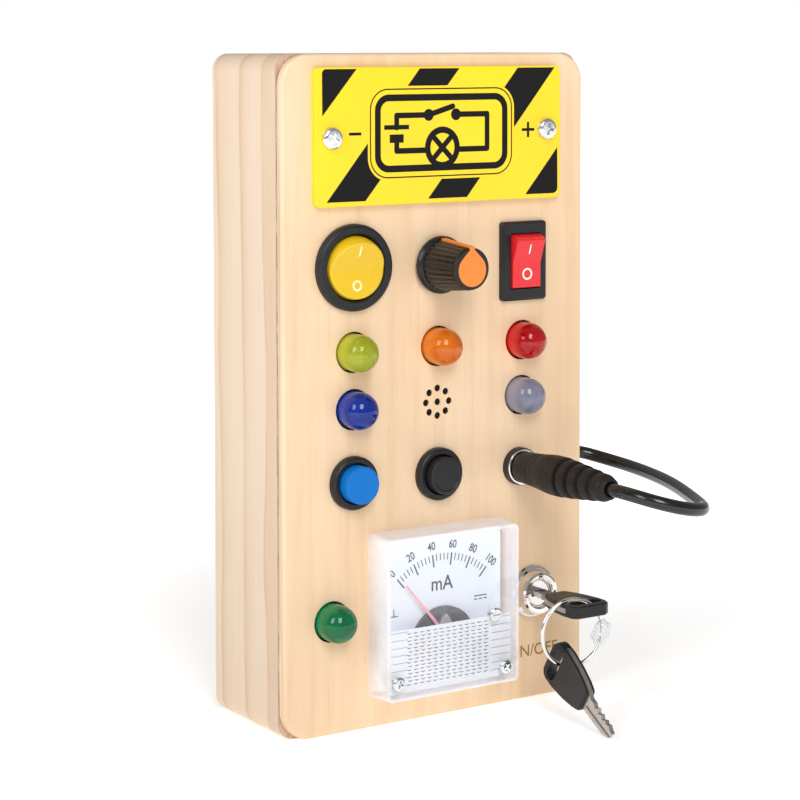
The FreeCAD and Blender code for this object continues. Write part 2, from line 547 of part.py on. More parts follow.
def cord_path(pts):
    """Straight runs joined by tangent arcs; prints each run and arc radius."""
    P = [Vector(*p) for p in pts]
    runs = [(P[i + 1] - P[i]).Length for i in range(len(P) - 1)]
    edges, cur, total = [], P[0], 0.0
    for i in range(1, len(P) - 1):
        a = (P[i] - P[i - 1]).normalize()
        b = (P[i + 1] - P[i]).normalize()
        turn = a.getAngle(b)
        t = 0.45 * min(runs[i - 1], runs[i])
        r = t / math.tan(turn / 2)
        p0 = P[i] - a * t
        p1 = P[i] + b * t
        bis = (b - a).normalize()
        centre = P[i] + bis * (r / math.cos(turn / 2))
        mid = centre - bis * r
        edges.append(Part.LineSegment(cur, p0).toShape())
        edges.append(Part.Arc(p0, mid, p1).toShape())
        total += (p0 - cur).Length + r * turn
        cur = p1
        print("cord point %2d: run in %.1f turn %.1f deg radius %.1f" % (i, runs[i - 1], math.degrees(turn), r))
    edges.append(Part.LineSegment(cur, P[-1]).toShape())
    total += (P[-1] - cur).Length
    return Part.Wire(edges), total


path, length = cord_path(CORD)
sec = Part.Wire([Part.Circle(Vector(*CORD[0]), Vector(0, 1, 0), CORD_D / 2).toShape()])
cord = path.makePipeShell([sec], True, False)
print("cord length %.1f, volume %.1f, section x length %.1f" % (length, cord.Volume, math.pi * CORD_D ** 2 / 4 * length))
save("dc_cord", cord)
# moulded strain relief in the right-hand wall
gx = BOARD_W / 2
gl = []
for r, x in [(0, gx - 9.5), (3.6, gx - 9.5), (3.6, gx - 8.2), (3.0, gx - 8.2), (3.0, gx), (4.4, gx), (4.4, gx + 0.4),
             (3.8, gx + 0.9), (3.0, gx + 1.2), (0, gx + 1.2)]:
    gl.append(Vector(x, GLAND[1], GLAND[2] + r))
gl.append(gl[0])
gland = Part.Face(Part.makePolygon(gl)).revolve(Vector(0, GLAND[1], GLAND[2]), Vector(1, 0, 0), 360)
# the inner collar is snapped in from outside, so it is cut back to the hole above and below
save("cord_gland", gland)

# ================= panel meter =================
mx0, mz0, mx1, mz1 = METER
fx0, fz0, fx1, fz1 = METER_FRONT
w_ = METER_WALL
outer = Part.makeLoft([rrect_wire(mx0, mz0, mx1, mz1, 1.6, 0), rrect_wire(fx0, fz0, fx1, fz1, 1.6, -METER_DEPTH)], True, True)
outer = fillet_where(outer, 0.4, lambda e: all_at_y(e, -METER_DEPTH))
inner = Part.makeLoft([rrect_wire(mx0 + w_, mz0 + w_, mx1 - w_, mz1 - w_, 0.8, 0.0),
                       rrect_wire(fx0 + w_, fz0 + w_, fx1 - w_, fz1 - w_, 0.8, -METER_DEPTH + w_)], True, True)
case = outer.cut(inner)
M_SCREWS = ((-18.9, 13.5), (16.0, 13.0))
ZERO = (12.6, 27.9)
for c in M_SCREWS:
    case = case.fuse(cyl_y(c, 2.2, -METER_DEPTH + w_ - 0.2, -2.3))
for c in M_SCREWS:
    case = case.cut(cyl_y(c, 1.05, -METER_DEPTH - 1, 0))
case = case.cut(cyl_y(ZERO, 1.3, -METER_DEPTH - 1, -METER_DEPTH + w_ + 0.2))
save("meter_case", one(case))

base = rprism(mx0 + w_ + 0.2, mz0 + w_ + 0.2, mx1 - w_ - 0.2, mz1 - w_ - 0.2, 1.0, -1.5, 0)
base = base.fuse(cyl_y(METER_C, METER_BARREL_R, 0, 14.0))
base = base.cut(cyl_y(METER_C, METER_BARREL_R - 1.3, 0.0, 12.7))
for c in M_SCREWS:
    base = base.cut(cyl_y(c, 1.0, -2, 0.5))
for dx in (-9.0, 9.0):
    base = base.cut(cyl_y((METER_C[0] + dx, METER_C[1]), 1.5, 12, 15))
save("meter_base", one(base))
dial = rprism(mx0 + w_ + 0.4, mz0 + w_ + 0.4, mx1 - w_ - 0.4, mz1 - w_ - 0.4, 0.8, -2.2, -1.5)
for c in M_SCREWS:
    dial = dial.cut(cyl_y(c, 1.0, -3, 0))
save("meter_dial", one(dial))
cover = cyl_y((-0.4, 20.2), 10.4, -3.1, -2.2).cut(box(-20, -4, 0, 20, -1, 17.0))
cover = one(cover.fuse(cyl_y(NEEDLE_PIVOT, 0.5, -5.0, -2.5)))
save("meter_core_cover", cover)

px, pz = NEEDLE_PIVOT
needle = poly_prism([(px - 0.55, -4.0, pz), (px - 0.16, -4.0, pz + NEEDLE_LEN), (px + 0.16, -4.0, pz + NEEDLE_LEN), (px + 0.55, -4.0, pz)],
                    (0, 1, 0), 0.35)
needle = needle.fuse(poly_prism([(px - 0.5, -4.0, pz), (px - 0.8, -4.0, pz - 4.5), (px + 0.8, -4.0, pz - 4.5), (px + 0.5, -4.0, pz)],
                                (0, 1, 0), 0.35))
needle = needle.fuse(cyl_y(NEEDLE_PIVOT, 1.3, -4.4, -3.4))
needle = one(needle.cut(cyl_y(NEEDLE_PIVOT, 0.55, -6, -2)))
needle.rotate(Vector(px, 0, pz), Vector(0, 1, 0), -NEEDLE_REST)
save("meter_needle", needle)

ms = [pan_screw(c, 1.9, 1.0, -METER_DEPTH, 1.0, -0.1, t) for c, t in zip(M_SCREWS, (20, 50))]
zs = lathe(ZERO, [(0, -METER_DEPTH - 0.7), (1.4, -METER_DEPTH - 0.7), (1.75, -METER_DEPTH - 0.4), (1.75, -METER_DEPTH),
                  (1.25, -METER_DEPTH), (1.25, -METER_DEPTH + w_ + 0.6), (0, -METER_DEPTH + w_ + 0.6)])
zs = one(zs.cut(box(ZERO[0] - 1.2, -METER_DEPTH - 1, ZERO[1] - 0.22, ZERO[0] + 1.2, -METER_DEPTH - 0.3, ZERO[1] + 0.22)))
save("meter_screws", ms + [zs])
studs = []
for dx in (-9.0, 9.0):
    cc = (METER_C[0] + dx, METER_C[1])
    st = cyl_y(cc, 1.5, 12.0, 22.0).fuse(cyl_y(cc, 2.6, 11.4, 12.0))
    st = st.fuse(nut_y(cc, 5.5, 1.4, 14.0, 16.4))
    studs.append(one(st))
save("meter_studs", studs)

# ================= key lock =================
c = LOCK
lh = lathe(c, [(LOCK_CYL_R + 0.05, -3.2), (LOCK_CYL_R + 0.35, -3.9), (LOCK_CYL_R + 0.8, -4.3), (5.2, -4.4), (5.75, -4.1),
               (5.95, -3.5), (6.2, -1.5), (6.5, -1.1), (7.1, -0.9), (7.4, -0.5), (7.4, 0), (LOCK_BARREL_R, 0),
               (LOCK_BARREL_R, 16.0), (LOCK_CYL_R + 0.05, 16.0)])
save("lock_housing", lh)
lc = lathe(c, [(0, -3.3), (LOCK_CYL_R - 0.3, -3.3), (LOCK_CYL_R, -3.0), (LOCK_CYL_R, 17.6), (2.2, 17.6), (2.2, 19.4), (0, 19.4)])
lc = lc.cut(box(c[0] - KEY_BLADE_W / 2 - 0.15, -4, c[1] - KEY_BLADE_T / 2 - 0.15, c[0] + KEY_BLADE_W / 2 + 0.15, 9.4,
                c[1] + KEY_BLADE_T / 2 + 0.15))
save("lock_cylinder", one(lc))
cam = cyl_y(c, 3.4, 17.6, 19.0).fuse(box(c[0] - 1.2, 17.6, c[1], c[0] + 1.2, 19.0, c[1] + 4.3))
save("lock_cam", one(cam.cut(cyl_y(c, 2.2, 17, 20))))
blk = lathe(c, [(4.6, 16.0), (7.6, 16.0), (7.6, 21.5), (0, 21.5), (0, 20.0), (4.6, 20.0)])

# ================= keys =================
# Key drawn in its own frame: u from the far end of the bow towards the blade (local +X),
# v across (local +Y), t through the thickness (local +Z); slot centre at u = 3.6.
BOW = [(0.0, -4.3), (0.9, -5.7), (2.2, -6.3), (5.5, -6.4), (10.5, -5.7), (14.6, -4.6), (16.9, -3.6), (17.5, -2.9),
       (17.5, 2.9), (16.9, 3.6), (14.6, 4.6), (10.5, 5.7), (5.5, 6.4), (2.2, 6.3), (0.9, 5.7), (0.0, 4.3)]


def slot_cut(h):
    a = box(3.6 - SLOT_R, -3.4, -h, 3.6 + SLOT_R, 3.4, h)
    a = a.fuse(Part.makeCylinder(SLOT_R, 2 * h, Vector(3.6, -3.4, -h), Vector(0, 0, 1)))
    return a.fuse(Part.makeCylinder(SLOT_R, 2 * h, Vector(3.6, 3.4, -h), Vector(0, 0, 1)))


def key():
    half = KEY_T / 2
    bow = poly_prism([(u, v, -half) for u, v in BOW], (0, 0, 1), KEY_T)
    bow = chamfer_where(bow, 0.35, lambda e: abs(e.BoundBox.ZMin) > half - 0.01 and e.BoundBox.ZLength < 0.01)
    # metal core shows along one long side
    hb = KEY_BLADE_W / 2
    core_pts = [(4.0, -6.4), (5.5, -6.45), (10.5, -5.75), (14.6, -4.65), (17.2, -3.5), (18.8, -hb), (20.4, -hb),
                (21.3, -1.5), (22.2, -2.2), (23.1, -1.1), (24.1, -1.9), (25.1, -0.9), (26.1, -1.8), (27.0, -1.2), (27.9, -1.7),
                (28.7, -1.0), (29.9, -0.6), (29.5, 1.1), (27.2, hb), (18.2, hb), (16.6, 2.4), (7.0, 2.4), (6.2, 0.0),
                (6.2, -3.0), (5.6, -4.5), (4.0, -4.5)]
    core = poly_prism([(u, v, -KEY_BLADE_T / 2) for u, v in core_pts], (0, 0, 1), KEY_BLADE_T)
    groove = box(18.5, 0.2, KEY_BLADE_T / 2 - 0.35, 31.0, 1.0, 2.0)
    groove2 = box(18.5, 0.2, -2.0, 31.0, 1.0, -KEY_BLADE_T / 2 + 0.35)
    core = one(core.cut(groove).cut(groove2))
    bow = bow.cut(slot_cut(4))
    bow = one(bow.cut(core))
    return bow, core


def placed(s, origin, ux, vx):
    """Local (u, v, t) to face coordinates, slot centre offset given by origin of u=0."""
    ux = Vector(*ux)
    vx = Vector(*vx)
    ux.normalize()
    vx.normalize()
    tx = ux.cross(vx)
    m = FreeCAD.Matrix(ux.x, vx.x, tx.x, origin[0], ux.y, vx.y, tx.y, origin[1], ux.z, vx.z, tx.z, origin[2], 0, 0, 0, 1)
    s = s.copy()
    s.Placement = Placement(m)
    return s


KEY_FAR_Y = -28.0
bow, blade = key()
# inserted key: u along +Y, v along +X so the open core side (v < 0) faces left
save("lock_key_bow", placed(bow, (LOCK[0], KEY_FAR_Y, LOCK[1]), (0, 1, 0), (1, 0, 0)))
lk_blade = placed(blade, (LOCK[0], KEY_FAR_Y, LOCK[1]), (0, 1, 0), (1, 0, 0))
# inserted depth is limited by the keyway
trim = box(LOCK[0] - 10, 9.0, LOCK[1] - 5, LOCK[0] + 10, 20, LOCK[1] + 5)
save("lock_key_blade", one(lk_blade.cut(trim)))

# ring
ring = Part.makeTorus(RING_R, RING_WIRE_R, Vector(*RING_C), Vector(0, 1, 0))
ring.rotate(Vector(*RING_C), Vector(0, 0, 1), -RING_TURN)
save("key_ring", ring)

# spare key hangs on the ring and leans on its tip
st, ct = math.sin(math.radians(SPARE_TILT)), math.cos(math.radians(SPARE_TILT))
u_ring = 3.5
ux = (0.02, -ct, -st)
vx = (0, -st, ct)
org = tuple(SPARE_AT[i] - ux[i] * u_ring for i in range(3))
# mirrored so that the bare core edge looks up and the teeth face right of the blade
save("spare_key_bow", placed(bow, org, ux, (0.0, st, -ct)))
save("spare_key_blade", placed(blade, org, ux, (0.0, st, -ct)))

# clear tag: two lobes round the ring wire
tg = (RING_C[0] + RING_R * math.cos(math.radians(-2)), RING_C[2] + RING_R * math.sin(math.radians(-2)))
dy = -(tg[0] - RING_C[0]) * math.tan(math.radians(RING_TURN))
ty = RING_C[1] + dy
tag = Part.makeSphere(1.9, Vector(tg[0] - 1.2, ty, tg[1] + 1.5))
tag = tag.fuse(Part.makeSphere(2.1, Vector(tg[0] + 1.6, ty - 0.4, tg[1] - 1.2)))
tag = tag.cut(ring)
save("key_tag", one(tag))

# electric switch behind the lock
save("lock_switch_block", blk)
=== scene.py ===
import bpy
import bmesh
import math
from mathutils import Matrix, Vector
from mathutils.bvhtree import BVHTree


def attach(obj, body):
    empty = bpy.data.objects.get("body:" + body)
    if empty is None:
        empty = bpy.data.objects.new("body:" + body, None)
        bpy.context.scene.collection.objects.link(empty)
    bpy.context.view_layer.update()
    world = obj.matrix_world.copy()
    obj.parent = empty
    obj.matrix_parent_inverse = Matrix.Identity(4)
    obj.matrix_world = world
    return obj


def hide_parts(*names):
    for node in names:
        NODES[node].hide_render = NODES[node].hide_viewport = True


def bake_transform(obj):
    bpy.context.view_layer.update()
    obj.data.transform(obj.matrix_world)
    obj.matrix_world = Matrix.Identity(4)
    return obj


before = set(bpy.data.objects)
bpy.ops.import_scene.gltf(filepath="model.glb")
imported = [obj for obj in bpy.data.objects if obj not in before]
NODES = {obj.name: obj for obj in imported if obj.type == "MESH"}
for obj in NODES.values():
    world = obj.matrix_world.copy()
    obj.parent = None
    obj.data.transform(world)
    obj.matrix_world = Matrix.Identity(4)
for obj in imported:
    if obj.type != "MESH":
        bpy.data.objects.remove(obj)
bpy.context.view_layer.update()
SHIFT_Y = -19.0          # face coordinates (front face at Y 0) to the row frame, millimetres


def P(x, y, z):
    """A point in face coordinates, millimetres, as a point in the row frame, metres."""
    return Vector((x, y + SHIFT_Y, z)) * 0.001


def lin(r, g, b):
    """An 8 bit display colour as linear light."""
    def f(c):
        c = c / 255.0
        return c / 12.92 if c <= 0.04045 else ((c + 0.055) / 1.055) ** 2.4
    return (f(r), f(g), f(b), 1.0)


# ---------------------------------------------------------------- camera
YAW, PITCH, ROLL = 0.57562, 0.05529, -0.0018
FOCAL_PX, CENTRE_X, CENTRE_Y = 2305.41623, 400.0, 172.08371
fwd = Vector((math.sin(YAW) * math.cos(PITCH), math.cos(YAW) * math.cos(PITCH), -math.sin(PITCH)))
right0 = Vector((math.cos(YAW), -math.sin(YAW), 0))
up0 = right0.cross(fwd)
right = right0 * math.cos(ROLL) + up0 * math.sin(ROLL)
up = -right0 * math.sin(ROLL) + up0 * math.cos(ROLL)
cam_data = bpy.data.cameras.new("camera")
cam_data.sensor_fit = "HORIZONTAL"
cam_data.sensor_width = 36.0
cam_data.lens = FOCAL_PX * 36.0 / 800.0
cam_data.shift_x = -(CENTRE_X - 400.0) / 800.0
cam_data.shift_y = (CENTRE_Y - 400.0) / 800.0
cam_data.clip_start = 0.01
cam_data.clip_end = 60.0
cam = bpy.data.objects.new("camera", cam_data)
bpy.context.scene.collection.objects.link(cam)
cam_at = P(-345.58441, -513.68386, 182.36206)
cam.matrix_world = Matrix((
    (right.x, up.x, -fwd.x, cam_at.x),
    (right.y, up.y, -fwd.y, cam_at.y),
    (right.z, up.z, -fwd.z, cam_at.z),
    (0, 0, 0, 1)))
bpy.context.scene.camera = cam
bpy.context.scene.view_settings.view_transform = "Standard"
bpy.context.scene.view_settings.look = "None"


# ---------------------------------------------------------------- shader helper
class Shader:
    def __init__(self, name, surface=True):
        self.m = bpy.data.materials.new(name)
        self.m.use_nodes = True
        self.t = self.m.node_tree
        self.t.nodes.clear()
        self.out = self.n("ShaderNodeOutputMaterial")
        self.b = self.n("ShaderNodeBsdfPrincipled")
        if surface:
            self.link(self.b.outputs[0], self.out.inputs[0])
        self.co = self.n("ShaderNodeTexCoord").outputs["Object"]

    def n(self, kind, **kw):
        node = self.t.nodes.new(kind)
        for k, v in kw.items():
            setattr(node, k, v)
        return node

    def link(self, a, b):
        self.t.links.new(a, b)

    def put(self, socket, value):
        if isinstance(value, bpy.types.NodeSocket):
            self.link(value, socket)
        else:
            socket.default_value = value

    def set(self, **kw):
        names = {"color": "Base Color", "metal": "Metallic", "rough": "Roughness", "ior": "IOR", "alpha": "Alpha",
                 "trans": "Transmission Weight", "coat": "Coat Weight", "coat_rough": "Coat Roughness",
                 "spec": "Specular IOR Level", "sss": "Subsurface Weight", "sss_radius": "Subsurface Radius",
                 "sss_scale": "Subsurface Scale", "normal": "Normal", "sheen": "Sheen Weight",
                 "aniso": "Anisotropic", "emit": "Emission Color", "emit_k": "Emission Strength"}
        for k, v in kw.items():
            self.put(self.b.inputs[names[k]], v)
        return self

    def scaled(self, x, y, z, off=(0, 0, 0)):
        """Object coordinates in millimetres, times the given factors."""
        mp = self.n("ShaderNodeMapping")
        mp.inputs["Scale"].default_value = (x * 1000, y * 1000, z * 1000)
        mp.inputs["Location"].default_value = off
        self.link(self.co, mp.inputs["Vector"])
        return mp.outputs[0]

    def noise(self, vec, scale=1.0, detail=2.0, rough=0.5, distort=0.0):
        nd = self.n("ShaderNodeTexNoise")
        nd.inputs["Scale"].default_value = scale
        nd.inputs["Detail"].default_value = detail
        nd.inputs["Roughness"].default_value = rough
        nd.inputs["Distortion"].default_value = distort
        self.link(vec, nd.inputs["Vector"])
        return nd.outputs["Fac"]

    def axis(self, which, vec=None):
        sp = self.n("ShaderNodeSeparateXYZ")
        self.link(vec if vec is not None else self.scaled(1, 1, 1), sp.inputs[0])
        return sp.outputs[which]

    def math(self, op, a, b=None, c=None, clamp=False):
        nd = self.n("ShaderNodeMath", operation=op, use_clamp=clamp)
        self.put(nd.inputs[0], a)
        if b is not None:
            self.put(nd.inputs[1], b)
        if c is not None:
            self.put(nd.inputs[2], c)
        return nd.outputs[0]

    def span(self, fac, a, b, lo=0.0, hi=1.0, smooth=True):
        nd = self.n("ShaderNodeMapRange", interpolation_type="SMOOTHSTEP" if smooth else "LINEAR", clamp=True)
        self.put(nd.inputs["Value"], fac)
        nd.inputs["From Min"].default_value = a
        nd.inputs["From Max"].default_value = b
        nd.inputs["To Min"].default_value = lo
        nd.inputs["To Max"].default_value = hi
        return nd.outputs[0]

    def ramp(self, fac, stops, mode="LINEAR"):
        nd = self.n("ShaderNodeValToRGB")
        cr = nd.color_ramp
        cr.interpolation = mode
        while len(cr.elements) > 1:
            cr.elements.remove(cr.elements[-1])
        cr.elements[0].position = stops[0][0]
        cr.elements[0].color = stops[0][1]
        for p, c in stops[1:]:
            e = cr.elements.new(p)
            e.color = c
        self.link(fac, nd.inputs[0])
        return nd.outputs[0]

    def mix(self, fac, a, b, blend="MIX"):
        nd = self.n("ShaderNodeMix", data_type="RGBA", blend_type=blend)
        self.put(nd.inputs[0], fac)
        self.put(nd.inputs[6], a)
        self.put(nd.inputs[7], b)
        return nd.outputs[2]

    def bump(self, height, dist_mm, strength=1.0, normal=None):
        nd = self.n("ShaderNodeBump")
        nd.inputs["Strength"].default_value = strength
        nd.inputs["Distance"].default_value = dist_mm * 0.001
        self.link(height, nd.inputs["Height"])
        if normal is not None:
            self.link(normal, nd.inputs["Normal"])
        return nd.outputs[0]


def shade(c, k):
    return (min(1, c[0] * k), min(1, c[1] * k), min(1, c[2] * k), 1.0)


def plastic(name, col, rough=0.35, vary=0.06, grain=0.012, spec=0.5, coat=0.0, coat_rough=0.1, scale=1.0, sss=0.0):
    """Moulded plastic: cloudy colour, fine moulded texture, uneven gloss."""
    s = Shader(name)
    cloud = s.noise(s.scaled(0.12, 0.12, 0.12), scale, 3, 0.6)
    fine = s.noise(s.scaled(3.0, 3.0, 3.0), scale, 3, 0.65)
    dust = s.noise(s.scaled(0.9, 0.9, 0.9, (7, 3, 5)), scale, 4, 0.75)
    c = s.mix(s.span(cloud, 0.3, 0.7), shade(col, 1 - vary), shade(col, 1 + vary))
    c = s.mix(s.span(dust, 0.62, 0.8, 0, 0.25), c, shade(col, 1 + 2.5 * vary))
    s.set(color=c, spec=spec, coat=coat, coat_rough=coat_rough)
    r = s.span(dust, 0.25, 0.75, rough * 0.82, rough * 1.2)
    s.set(rough=r, normal=s.bump(fine, grain, 0.6))
    if sss:
        s.set(sss=sss, sss_radius=(1.0, 0.8, 0.6), sss_scale=0.001)
    return s.m


def metal(name, col, rough=0.18, grain=0.006, brushed=None, tarnish=0.12):
    """Plated or brushed metal with faint wear."""
    s = Shader(name)
    vec = s.scaled(*(brushed or (1.5, 1.5, 1.5)))
    fine = s.noise(vec, 2.0, 4, 0.7)
    cloud = s.noise(s.scaled(0.35, 0.35, 0.35), 1.0, 3, 0.6)
    c = s.mix(s.span(cloud, 0.3, 0.75), shade(col, 1.0), shade(col, 1 - tarnish))
    s.set(color=c, metal=1.0, rough=s.span(fine, 0.25, 0.8, rough * 0.7, rough * 1.5),
          normal=s.bump(fine, grain, 0.5))
    return s.m


# ---------------------------------------------------------------- wood
def wood_pine():
    """Solid softwood: growth rings run up the block, so they are layers from front to back."""
    s = Shader("pine_wood")
    xyz = s.scaled(1, 1, 1)
    y = s.axis(1, xyz)
    z = s.axis(2, xyz)
    slow = s.noise(s.scaled(0.010, 0.03, 0.011, (3.1, 0.4, 1.7)), 1.0, 2, 0.5)
    warp = s.math("MULTIPLY_ADD", s.math("SUBTRACT", slow, 0.5), 9.0, y)
    lean = s.math("MULTIPLY_ADD", z, -0.018, warp)                 # rings lean a little towards the front, lower down
    wob = s.noise(s.scaled(0.12, 0.5, 0.02, (9, 2, 4)), 1.0, 3, 0.55)
    ring = s.math("MULTIPLY_ADD", s.math("SUBTRACT", wob, 0.5), 1.3, lean)
    fac = s.span(ring, -20, 20, 0, 1, smooth=False)
    lite, mid, tan, deep = lin(225, 203, 179), lin(220, 196, 169), lin(213, 184, 153), lin(203, 170, 137)
    def at(v):
        return (v + 20) / 40.0
    col = s.ramp(fac, [
        (at(-20), mid), (at(-14.5), tan), (at(-12.0), tan), (at(-11.2), deep), (at(-10.6), lite), (at(-6.0), lite),
        (at(-2.4), mid), (at(-0.6), tan), (at(0.2), deep), (at(0.8), lite), (at(6.0), lite), (at(10.6), mid),
        (at(12.6), tan), (at(13.2), deep), (at(14.0), lite), (at(20), mid)])
    fib = s.noise(s.scaled(1.6, 2.4, 0.035, (1, 5, 2)), 1.0, 4, 0.7)
    col = s.mix(s.span(fib, 0.35, 0.75, 0.0, 0.35), col, tan, "MIX")
    fine = s.noise(s.scaled(5.0, 7.0, 0.12, (4, 4, 4)), 1.0, 3, 0.7)
    col = s.mix(s.span(fine, 0.55, 0.8, 0.0, 0.22), col, deep)
    patch = s.noise(s.scaled(0.03, 0.05, 0.018, (2, 8, 6)), 1.0, 2, 0.5)
    col = s.mix(s.span(patch, 0.35, 0.7, 0.0, 0.35), col, lin(228, 206, 184))
    # dark line against the front board: glue, with painted shade of the gap between body and board; thin, brown and
    # broken
    gap = s.noise(s.scaled(0.5, 0.3, 0.16, (5, 1, 9)), 1.0, 4, 0.75)
    near = s.span(y, -15.95, -15.2, 1.0, 0.0)
    seam = s.math("MULTIPLY", near, s.span(gap, 0.36, 0.62, 0.25, 1.0))
    col = s.mix(s.math("MULTIPLY", seam, 0.85), col, lin(150, 108, 84))
    # a pinker, darker band on the body next to the front board, fading back from the joint
    joint_band = s.math("MULTIPLY", s.span(y, -15.9, -12.0, 0.45, 0.0), s.span(gap, 0.3, 0.7, 0.4, 1.0))
    col = s.mix(joint_band, col, lin(222, 190, 168))
    s.set(color=col, rough=s.span(fib, 0.3, 0.8, 0.42, 0.6), spec=0.4,
          normal=s.bump(s.math("ADD", fib, s.math("MULTIPLY", fine, 0.5)), 0.06, 0.35))
    return s.m


def wood_ply():
    """Thin rotary-cut board: warm, straight faint streaks up the face, small dark flecks, browned cut edge."""
    s = Shader("face_board_wood")
    y = s.axis(1)
    wide = s.noise(s.scaled(0.045, 0.3, 0.007, (2, 0, 5)), 1.0, 3, 0.55, 0.4)
    mid = s.noise(s.scaled(0.22, 0.6, 0.012, (6, 2, 1)), 1.0, 4, 0.6, 0.3)
    fib = s.noise(s.scaled(1.3, 2.0, 0.03, (1, 7, 3)), 1.0, 4, 0.7)
    hair = s.noise(s.scaled(4.5, 6.0, 0.10, (8, 3, 2)), 1.0, 3, 0.7)
    base = s.mix(s.span(wide, 0.3, 0.7), lin(238, 208, 172), lin(229, 196, 157))
    base = s.mix(s.span(mid, 0.42, 0.72, 0.0, 0.55), base, lin(221, 184, 144))
    base = s.mix(s.span(fib, 0.5, 0.8, 0.0, 0.40), base, lin(214, 176, 136))
    base = s.mix(s.span(hair, 0.6, 0.82, 0.0, 0.30), base, lin(196, 154, 114))
    fleck = s.noise(s.scaled(2.0, 2.0, 0.28, (3, 3, 8)), 1.0, 2, 0.5)
    base = s.mix(s.span(fleck, 0.70, 0.76, 0.0, 0.55), base, lin(196, 150, 110))
    pale = s.noise(s.scaled(0.02, 0.3, 0.012, (9, 1, 4)), 1.0, 2, 0.5)
    base = s.mix(s.span(pale, 0.45, 0.75, 0.0, 0.35), base, lin(242, 216, 184))
    # cut edge: layers of veneer, browner towards the joint, where a dark broken line is burnt edge with painted shade
    # of the gap
    edge = s.math("MULTIPLY", s.span(y, -18.25, -17.6, 0.0, 1.0), s.span(y, -15.6, -15.0, 1.0, 0.0))
    ply = s.noise(s.scaled(0.02, 2.6, 0.02, (1, 1, 1)), 1.0, 2, 0.6)
    side = s.mix(s.span(ply, 0.35, 0.65), lin(236, 210, 178), lin(206, 172, 138))
    brk = s.noise(s.scaled(0.4, 0.4, 0.14, (5, 1, 9)), 1.0, 4, 0.75)
    # dark broken line at the joint: burnt edge, partly painted shade of the gap against the body
    dark = s.math("MULTIPLY", s.span(y, -16.9, -16.15, 0.0, 1.0), s.span(brk, 0.34, 0.62, 0.35, 1.0))
    side = s.mix(dark, side, lin(138, 98, 76))
    col = s.mix(edge, base, side)
    s.set(color=col, rough=s.span(fib, 0.3, 0.8, 0.40, 0.58), spec=0.42,
          normal=s.bump(s.math("ADD", fib, s.math("MULTIPLY", hair, 0.6)), 0.05, 0.30))
    return s.m


# ---------------------------------------------------------------- printed sheet, lenses, clear parts
def printed_sheet():
    s = Shader("sign_sheet_yellow")
    cloud = s.noise(s.scaled(0.06, 0.06, 0.06), 1.0, 3, 0.6)
    fine = s.noise(s.scaled(2.2, 2.2, 2.2), 1.0, 3, 0.6)
    c = s.mix(s.span(cloud, 0.3, 0.7), lin(250, 216, 14), lin(245, 209, 20))
    speck = s.noise(s.scaled(1.1, 1.1, 1.1, (4, 2, 2)), 1.0, 2, 0.5)
    c = s.mix(s.span(speck, 0.70, 0.78, 0.0, 0.3), c, lin(226, 190, 30))
    s.set(color=c, rough=s.span(cloud, 0.3, 0.7, 0.28, 0.40), spec=0.5, coat=0.15, coat_rough=0.15,
          normal=s.bump(fine, 0.008, 0.4))
    return s.m


def ink(name, col, rough=0.5, fade=0.12, spec=0.4):
    s = Shader(name)
    fine = s.noise(s.scaled(2.5, 2.5, 2.5), 1.0, 4, 0.7)
    cloud = s.noise(s.scaled(0.2, 0.2, 0.2), 1.0, 3, 0.6)
    c = s.mix(s.span(fine, 0.4, 0.8, 0.0, 1.0), col, shade(col, 1 + fade * 4))
    c = s.mix(s.span(cloud, 0.3, 0.7, 0.0, 0.6), c, shade(col, 1 - fade))
    s.set(color=c, rough=s.span(fine, 0.3, 0.7, rough * 0.85, rough * 1.15), spec=spec, normal=s.bump(fine, 0.006, 0.4))
    return s.m


def lens(name, shell, dome, glow, trans=0.18, tip_y=-22.2):
    """Tinted resin with painted light: the sleeve in the hole lighter and the dome deeper, a painted gradient for light
    passing through the resin, and cloudy patches of painted glow.
    """
    s = Shader(name)
    xyz = s.scaled(1, 1, 1)
    y = s.axis(1, xyz)
    cloud = s.noise(s.scaled(0.3, 0.3, 0.3), 1.0, 2, 0.5)
    # painted light: lighter in the sleeve, deeper towards the tip, with cloudy patches of painted glow
    deep = s.mix(s.span(y, -24.8, -21.2), dome, shell)
    deep = s.mix(s.span(cloud, 0.35, 0.7, 0.0, 0.25), deep, glow)
    s.set(color=deep, rough=0.05, ior=1.45, trans=trans,
          sss=0.35, sss_radius=(1.0, 1.0, 1.0), sss_scale=0.0022)
    s.set(normal=s.bump(s.noise(s.scaled(0.5, 0.5, 0.5), 1.0, 1, 0.4), 0.02, 0.15))
    return s.m


